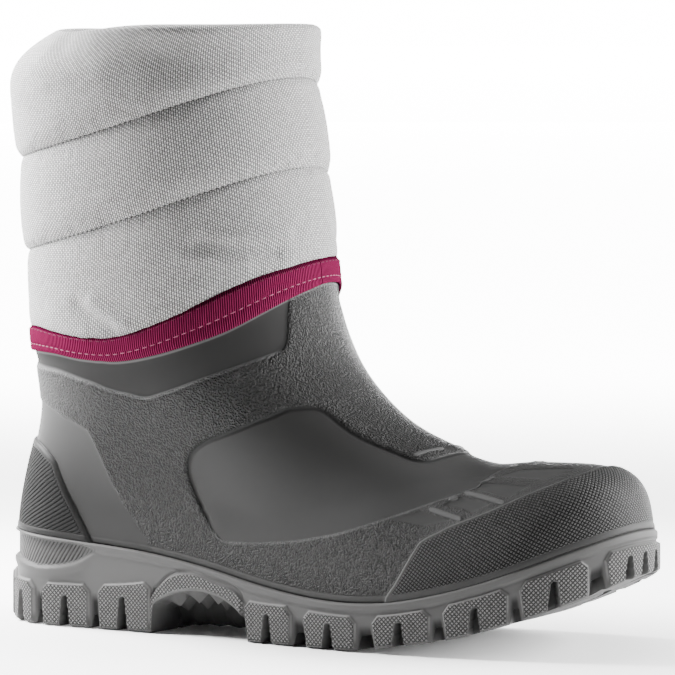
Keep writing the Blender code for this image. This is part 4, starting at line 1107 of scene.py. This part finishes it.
def finish_material(shader, colour, roughness, height, depth, gloss=0.25):
    """Link colour, roughness and a bump whose height of one stands a depth in millimetres."""
    rise = {"Strength": 1.0, "Distance": depth * MM, "Height": height}
    bump = height.node("ShaderNodeBump", {}, rise, output="Normal")
    for name, value in (("Base Color", colour), ("Roughness", roughness), ("Normal", bump)):
        if isinstance(value, Sock):
            height.tree.links.new(value.socket, shader.inputs[name])
        else:
            shader.inputs[name].default_value = value
    shader.inputs["Specular IOR Level"].default_value = gloss
    print("finish of", len(height.tree.nodes), "nodes")


# %% [markdown]
# Shell rubber. The mould gives each panel its own skin: a leathery grain on most of the shell, diamonds on
# the toe bumper, slanting ribs on the heel counter, and smooth collar, sides and heel. The fields of signed
# distance, in millimetres, say where each skin begins, and the same numbers drive colour, gloss and bump.
# The colour also holds painted light: pale crests, bars and edge lines are painted highlights, and darker
# grooves, troughs and the heel panel's lower part are painted shade.

# %% Rubber of the shell
GRAIN_SIZE, DIAMOND_PITCH, RIB_PITCH, RIB_SLANT = 0.8, 1.65, 1.7, 0.6
# The pale grey paints highlights; the dark grey gives the counter its darker tone and paints shade.
SHELL_GREY, SHELL_DARK_AND_PAINTED_SHADE, SHELL_PAINTED_HIGHLIGHT, LINING_GREY = grey(0.031, 0.01), grey(0.0035), grey(0.1), grey(0.10)
shader, where, u, v = new_material("shell_rubber_fine", shell_skin)
counter, heel_panel, collar, side_panel, side_foot, bumper, dips, bars, toe, rear, tape_above, lining = (
    u.field(name) for name in shell_fields)
grain = where.noise(GRAIN_SIZE, 1.0).ramp(0.32, 0.68)
diamonds = (u + v).zigzag(DIAMOND_PITCH).least((u - v).zigzag(DIAMOND_PITCH)).ramp(0.12, 0.6)
ribs = (v - u * RIB_SLANT).zigzag(RIB_PITCH).ramp(0.15, 0.7)

over_lip = v.ramp(2.2, 2.8)
on_bumper, on_counter = bumper.ramp(1.3, 1.9) * over_lip, counter.ramp(1.7, 2.3) * over_lip
on_heel, on_side_panel = heel_panel.ramp(-0.3, 0.3), side_panel.ramp(-0.3, 0.3)
on_collar, on_dips, on_bars = collar.ramp(-0.3, 0.3), dips.ramp(-0.3, 0.3), 1.0 - bars.ramp(0.8, 1.3)
smooth = collar.most(heel_panel).most(side_panel).most(dips).ramp(-0.3, 0.5)
off_panels = (1.0 - smooth) * (1.0 - bumper.ramp(-0.6, 0.2)) * (1.0 - counter.ramp(-1.6, -0.8))
on_grain = off_panels * bars.ramp(1.0, 1.5) * over_lip * (1.0 - toe * 0.75)
# Troughs along the counter's and side panel's edges; below they also darken the colour as painted shade.
trough = counter.near(-0.8, 0.8).most(side_panel.near(0.9, 1.5) * side_foot.ramp(2.0, 9.0))
heel_edge = heel_panel.ramp(-0.35, 0.35) * v.ramp(20.0, 60.0)
vamp_line = side_panel.near(-0.3, 0.8) * (1.0 - side_foot.ramp(0.8, 1.6))
# Pale lines along the collar's lower edge and under the tape: painted highlights.
painted_collar_highlight = (collar.near(0.1, 1.0) * rear).most(tape_above.near(0.6, 0.8) * 0.7)

# Pale lines on the bars, the vamp's edge, the collar and the bumper's rim: painted highlights.
painted_highlight_lines = (on_bars * 0.5).most(vamp_line * 0.35).most(painted_collar_highlight).most(bumper.near(0.6, 0.7) * 0.4)
# The heel panel paler towards its top: painted light.
painted_heel_light = on_heel * v.ramp(15.0, 75.0) * 0.2
# Paler diamond and rib crests: painted highlights.
painted_crest_highlights = (on_bumper * diamonds * 0.3).most(on_counter * ribs * 0.1).most(painted_heel_light)
# Darker diamond and rib grooves and low parts of the grain: painted shade.
painted_groove_shade = on_bumper * (1.0 - diamonds) + on_counter * (1.0 - ribs) + on_grain * (1.0 - grain) * 0.5
# The heel panel darker towards its foot: painted shade. The counter is a darker rubber, and collar and side
# panels are darker.
dark_panels_and_painted_shade = (
    on_side_panel * 0.2 + on_heel * v.ramp(55.0, 15.0) * 0.25 + on_counter * 0.3
    + counter.ramp(-0.5, 0.5) * 0.4 + on_collar * 0.35)
# Troughs darkened: painted shade.
dark = (painted_groove_shade + dark_panels_and_painted_shade + trough * 0.5).least(1.0)
rubber = painted_highlight_lines.most(painted_crest_highlights).mix(dark.mix(SHELL_GREY, SHELL_DARK_AND_PAINTED_SHADE), SHELL_PAINTED_HIGHLIGHT)
roughness = 0.55 + lining * 0.35 + (on_counter + on_collar) * 0.3 - on_grain * 0.12
shell_height = (
    on_grain * grain * 0.8 + on_bumper * diamonds * 0.6 + on_counter * ribs * 0.8 + on_bars * 0.5
    + bumper.near(0.6, 0.8) * 0.35 + vamp_line * 0.3 - trough * 0.4 - heel_edge * 0.35 - on_dips * 0.25)
shell_bump = shell_height * (1.0 - lining) + where.noise(0.4) * 0.02
finish_material(shader, lining.mix(rubber, LINING_GREY), roughness, shell_bump, 1.0, gloss=0.085)

# %% [markdown]
# Outsole rubber. It is a paler grey than the shell. Lug faces and arch are knurled and the heel band is
# ribbed, which grips and hides scuffs. Knurls could be modelled, but thousands of them would weigh too much,
# so they are bump, with painted highlights on their tops and on the lugs' bevels, and painted shade in their
# cuts, in gaps and slots and under the sole.

# %% Rubber of the outsole
KNURL_PITCH, HEEL_RIB_PITCH = 1.8, 1.6
# The pale grey paints highlights and the dark grey paints shade.
SOLE_GREY, SOLE_PAINTED_HIGHLIGHT, SOLE_PAINTED_SHADE = grey(0.06, 0.01), grey(0.135, 0.01), grey(0.008)
shader, where, u, v = new_material("outsole_rubber_fine", outsole_skin)
to_lug, to_slot, wave_up, under, arch, waist, on_heel_part, over_foot, hollow = (
    u.field(name) for name in ("face", "cut", "wave", "under", "arch", "waist", "heel", "rise", "hollow"))
knurl = (u + v).zigzag(KNURL_PITCH).least((u - v).zigzag(KNURL_PITCH)).ramp(0.1, 0.65)
heel_rib = (u * 0.85 - v * 0.55).zigzag(HEEL_RIB_PITCH).ramp(0.1, 0.8)
in_lug = 0.0 - to_lug
on_face = in_lug.ramp(0.8, 1.3) * to_slot.ramp(0.4, 0.9)
on_arch = arch.ramp(0.6, 1.1) * waist * to_lug.ramp(-0.2, 0.2)
on_knurl = on_face.most(on_arch) * over_foot.ramp(0.8, 1.4)
on_ribs = on_heel_part * wave_up.ramp(0.6, 1.2) * under.ramp(1.4, 2.0)
cut_in = on_knurl * (1.0 - knurl) + on_ribs * (1.0 - heel_rib)
# Pale knurl tops and lug bevels: painted highlights.
bevel = in_lug.near(0.5, 0.5) * to_slot.ramp(0.2, 0.8) * over_foot.ramp(2.0, 6.0)
crests_with_painted_highlight = (on_knurl * knurl).most(bevel * 0.7).mix(SOLE_GREY, SOLE_PAINTED_HIGHLIGHT)
# Cuts, gaps, slots and the recesses under the sole darkened: painted shade.
sole_colour = (cut_in * 0.65 + hollow * 0.9).least(1.0).mix(crests_with_painted_highlight, SOLE_PAINTED_SHADE)
finish_material(shader, sole_colour, 0.55, where.noise(0.5) * 0.03 - cut_in * 0.5, 1.0, gloss=0.08)

# %% [markdown]
# Shaft cloth. It is a coarse plain weave: each thread goes over and under the next. The dark gaps between
# threads and the darker threads where they pass under are painted shade. The map's two axes count threads,
# so a weave needs no picture. A random grey for each crossing gives the yarn its slight mottle, and painted
# shade darkens the seams where the needle pulls them in.

# %% Woven cloth of the shaft
# The gap grey paints shade between threads and in the seams.
THREAD_GREY, GAP_PAINTED_SHADE, FLEECE_GREY = grey(0.66, 0.012), grey(0.02, 0.01), grey(0.22)
shader, where, u, v = new_material("shaft_fabric_fine", shaft_pad)
lining = u.field("lining")
column, row = (u / WARP).whole(), (v / WEFT).whole()
over = (column + row).zigzag(2.0)
across_thread, along_thread = u.zigzag(WARP).ramp(0.05, 0.75), v.zigzag(WEFT).ramp(0.0, 0.7)
# Darker in the gaps and where threads pass under: painted shade.
weave = across_thread * (0.3 + 0.7 * along_thread) * (0.45 + 0.55 * over)
crossing = u.node("ShaderNodeCombineXYZ", {}, {0: column, 1: row})
mottle = u.node("ShaderNodeTexWhiteNoise", {"noise_dimensions": "2D"}, {"Vector": crossing})
# Seams darkened where they sink: painted shade.
seam_painted_shade = u.field("seam").ramp(0.9, 0.35)
cloth = (weave * (0.8 + 0.4 * mottle) * (1.0 - seam_painted_shade)).mix(GAP_PAINTED_SHADE, THREAD_GREY)
cloth_height = weave * (1.0 - lining) + where.noise(1.5, 3.0) * lining * 2.0
finish_material(shader, lining.mix(cloth, FLEECE_GREY), 0.8, cloth_height, 0.25)
shader.inputs["Sheen Weight"].default_value = 0.15

# %% [markdown]
# Tape, thread and felt. The tape is a magenta grosgrain, with painted shade between its cross ribs and above
# its fold. Threads and felt are plain dyed fibre, so a fine noise shades and roughens them.

# %% Ribbed tape, thread and felt
TAPE_RIB_PITCH, FIBRE_SIZE, FIBRE_SHADE = 0.95, 0.6, 0.75
# The dark magenta paints shade.
MAGENTA, MAGENTA_PAINTED_SHADE = (0.205, 0.0175, 0.067, 1.0), (0.015, 0.0008, 0.005, 1.0)
FIBRES = (
    ("tape_thread", tape_stitches, (0.26, 0.07, 0.12, 1.0)),
    ("fold_thread", fold_stitches, (0.08, 0.004, 0.025, 1.0)),
    ("seam_thread", seam_stitches, grey(0.6, 0.01)),
    ("felt", insole_felt, grey(0.12)))
shader, where, u, v = new_material("tape_fabric_fine", tape_band)
tape_rib = u.zigzag(TAPE_RIB_PITCH).ramp(0.25, 0.9)
above_fold = u.field("across").ramp(TAPE_FOLD - 0.02, TAPE_FOLD + 0.03)
# Darker between the ribs and above the fold: painted shade.
shade = (1.0 - tape_rib + above_fold * 0.6).least(1.0)
finish_material(shader, shade.mix(MAGENTA, MAGENTA_PAINTED_SHADE), 0.8, tape_rib, 0.4, gloss=0.0)

for name, piece, colour in FIBRES:
    shader, where, _, _ = new_material(name, piece)
    fibres = where.noise(FIBRE_SIZE, 3.0)
    shaded = (*(FIBRE_SHADE * part for part in colour[:3]), 1.0)
    finish_material(shader, fibres.ramp(0.3, 0.7).mix(shaded, colour), 0.8, fibres, 0.15)

# %% [markdown]
# Studio. The photo has a white sweep, large soft lights to the left and right, and a darker front, so that
# the shaft is palest at its edges. A round floor that bends up and glows, three area lights and an even sky
# give that. The camera stands where the photo's outline fits the boot's.

# %% Directions and floor
YAW, PITCH = np.radians(30.0), np.radians(3.6)
TARGET, CAMERA_AWAY, LENS, SENSOR = (140.0 - ORIGIN_X, 16.0, 117.0), 1.985, 263.3, 36.0
# Radius and height of the sweep's rings, in metres
SWEEP = np.array([
    (0.2, 0.0), (0.5, 0.0), (1.0, 0.0), (2.0, 0.0), (4.0, 0.0), (7.0, 0.0), (8.0, 0.05), (8.6, 0.2),
    (8.9, 0.45), (9.0, 0.75), (9.0, 1.2)])
UNDER_SOLE, SWEEP_GLOW, SKY_GLOW = 0.0002, 13.0, 0.12

middle, upright = Vector(TARGET) * MM, Vector((0.0, 0.0, 1.0))
to_front = Vector((np.sin(YAW), -np.cos(YAW), 0.0))
to_right = Vector((np.cos(YAW), np.sin(YAW), 0.0))
to_camera = to_front * np.cos(PITCH) + upright * np.sin(PITCH)

sweep_angle = np.radians(np.arange(0.0, 360.0, 5.0))
sweep_out, sweep_up = SWEEP[:, :1], SWEEP[:, 1:] - UNDER_SOLE
sweep_rings = np.broadcast_arrays(sweep_out * np.cos(sweep_angle), sweep_out * np.sin(sweep_angle), sweep_up)
sweep_faces = grid_faces(len(SWEEP), len(sweep_angle), closed=False)[:, ::-1].tolist()
sweep_mesh = bpy.data.meshes.new("sweep")
sweep_mesh.from_pydata(
    np.stack(sweep_rings, axis=-1).reshape(-1, 3).tolist(), [], [list(range(len(sweep_angle)))] + sweep_faces)
sweep = add_object("sweep", sweep_mesh)

shader, where, _, _ = new_material("paper", sweep)
distance = where.node("ShaderNodeVectorMath", {"operation": "LENGTH"}, {0: where}, output="Value")
before = where.node(
    "ShaderNodeVectorMath", {"operation": "DOT_PRODUCT"}, {0: where, 1: to_front}, output="Value")
far_glow = distance.ramp(0.4, 1.6) * (1.0 - 0.92 * (before / distance).ramp(-0.95, -0.35))
near_glow = distance.ramp(0.05, 0.25) * distance.ramp(0.6, 0.3) * 0.1
glow = far_glow.most(near_glow).mix(grey(0.0), grey(1.0))
paper = before.ramp(0.16, 0.4).mix(grey(0.9), grey(0.1))
where.tree.links.new(glow.socket, shader.inputs["Emission Color"])
where.tree.links.new(paper.socket, shader.inputs["Base Color"])
shader.inputs["Emission Strength"].default_value = SWEEP_GLOW
shader.inputs["Roughness"].default_value = 0.9
print("sweep:", len(SWEEP), "rings")

# %% Lights and camera
# Name, distance right of the boot, behind it and above it, aim above its middle, size, power
LIGHTS = (
    ("left_light", -0.5, 0.22, 0.4, 0.08, 0.4, 46.0), ("right_light", 0.9, 0.08, 0.2, 0.0, 0.7, 46.0),
    ("top_light", 0.0, 0.4, 1.1, 0.0, 0.9, 10.0))
world = bpy.data.worlds.new("studio")
world.use_nodes = True
world.node_tree.nodes["Background"].inputs["Color"].default_value = grey(1.0)
world.node_tree.nodes["Background"].inputs["Strength"].default_value = SKY_GLOW
bpy.context.scene.world = world

for name, right, behind, above, aim_above, size, watts in LIGHTS:
    light = bpy.data.lights.new(name, "AREA")
    light.shape, light.size, light.energy = "SQUARE", size, watts
    lamp = add_object(name, light)
    lamp.location = middle + to_right * right - to_camera * behind + upright * above
    from_aim = lamp.location - middle - upright * aim_above
    lamp.rotation_euler = from_aim.to_track_quat("Z", "Y").to_euler()

lens = bpy.data.cameras.new("camera")
lens.sensor_width, lens.lens = SENSOR, LENS
camera = add_object("camera", lens)
camera.location = middle + to_camera * CAMERA_AWAY
camera.rotation_euler = to_camera.to_track_quat("Z", "Y").to_euler()
bpy.context.scene.camera = camera
print("lights:", len(LIGHTS), "camera at", tuple(round(part, 3) for part in camera.location))
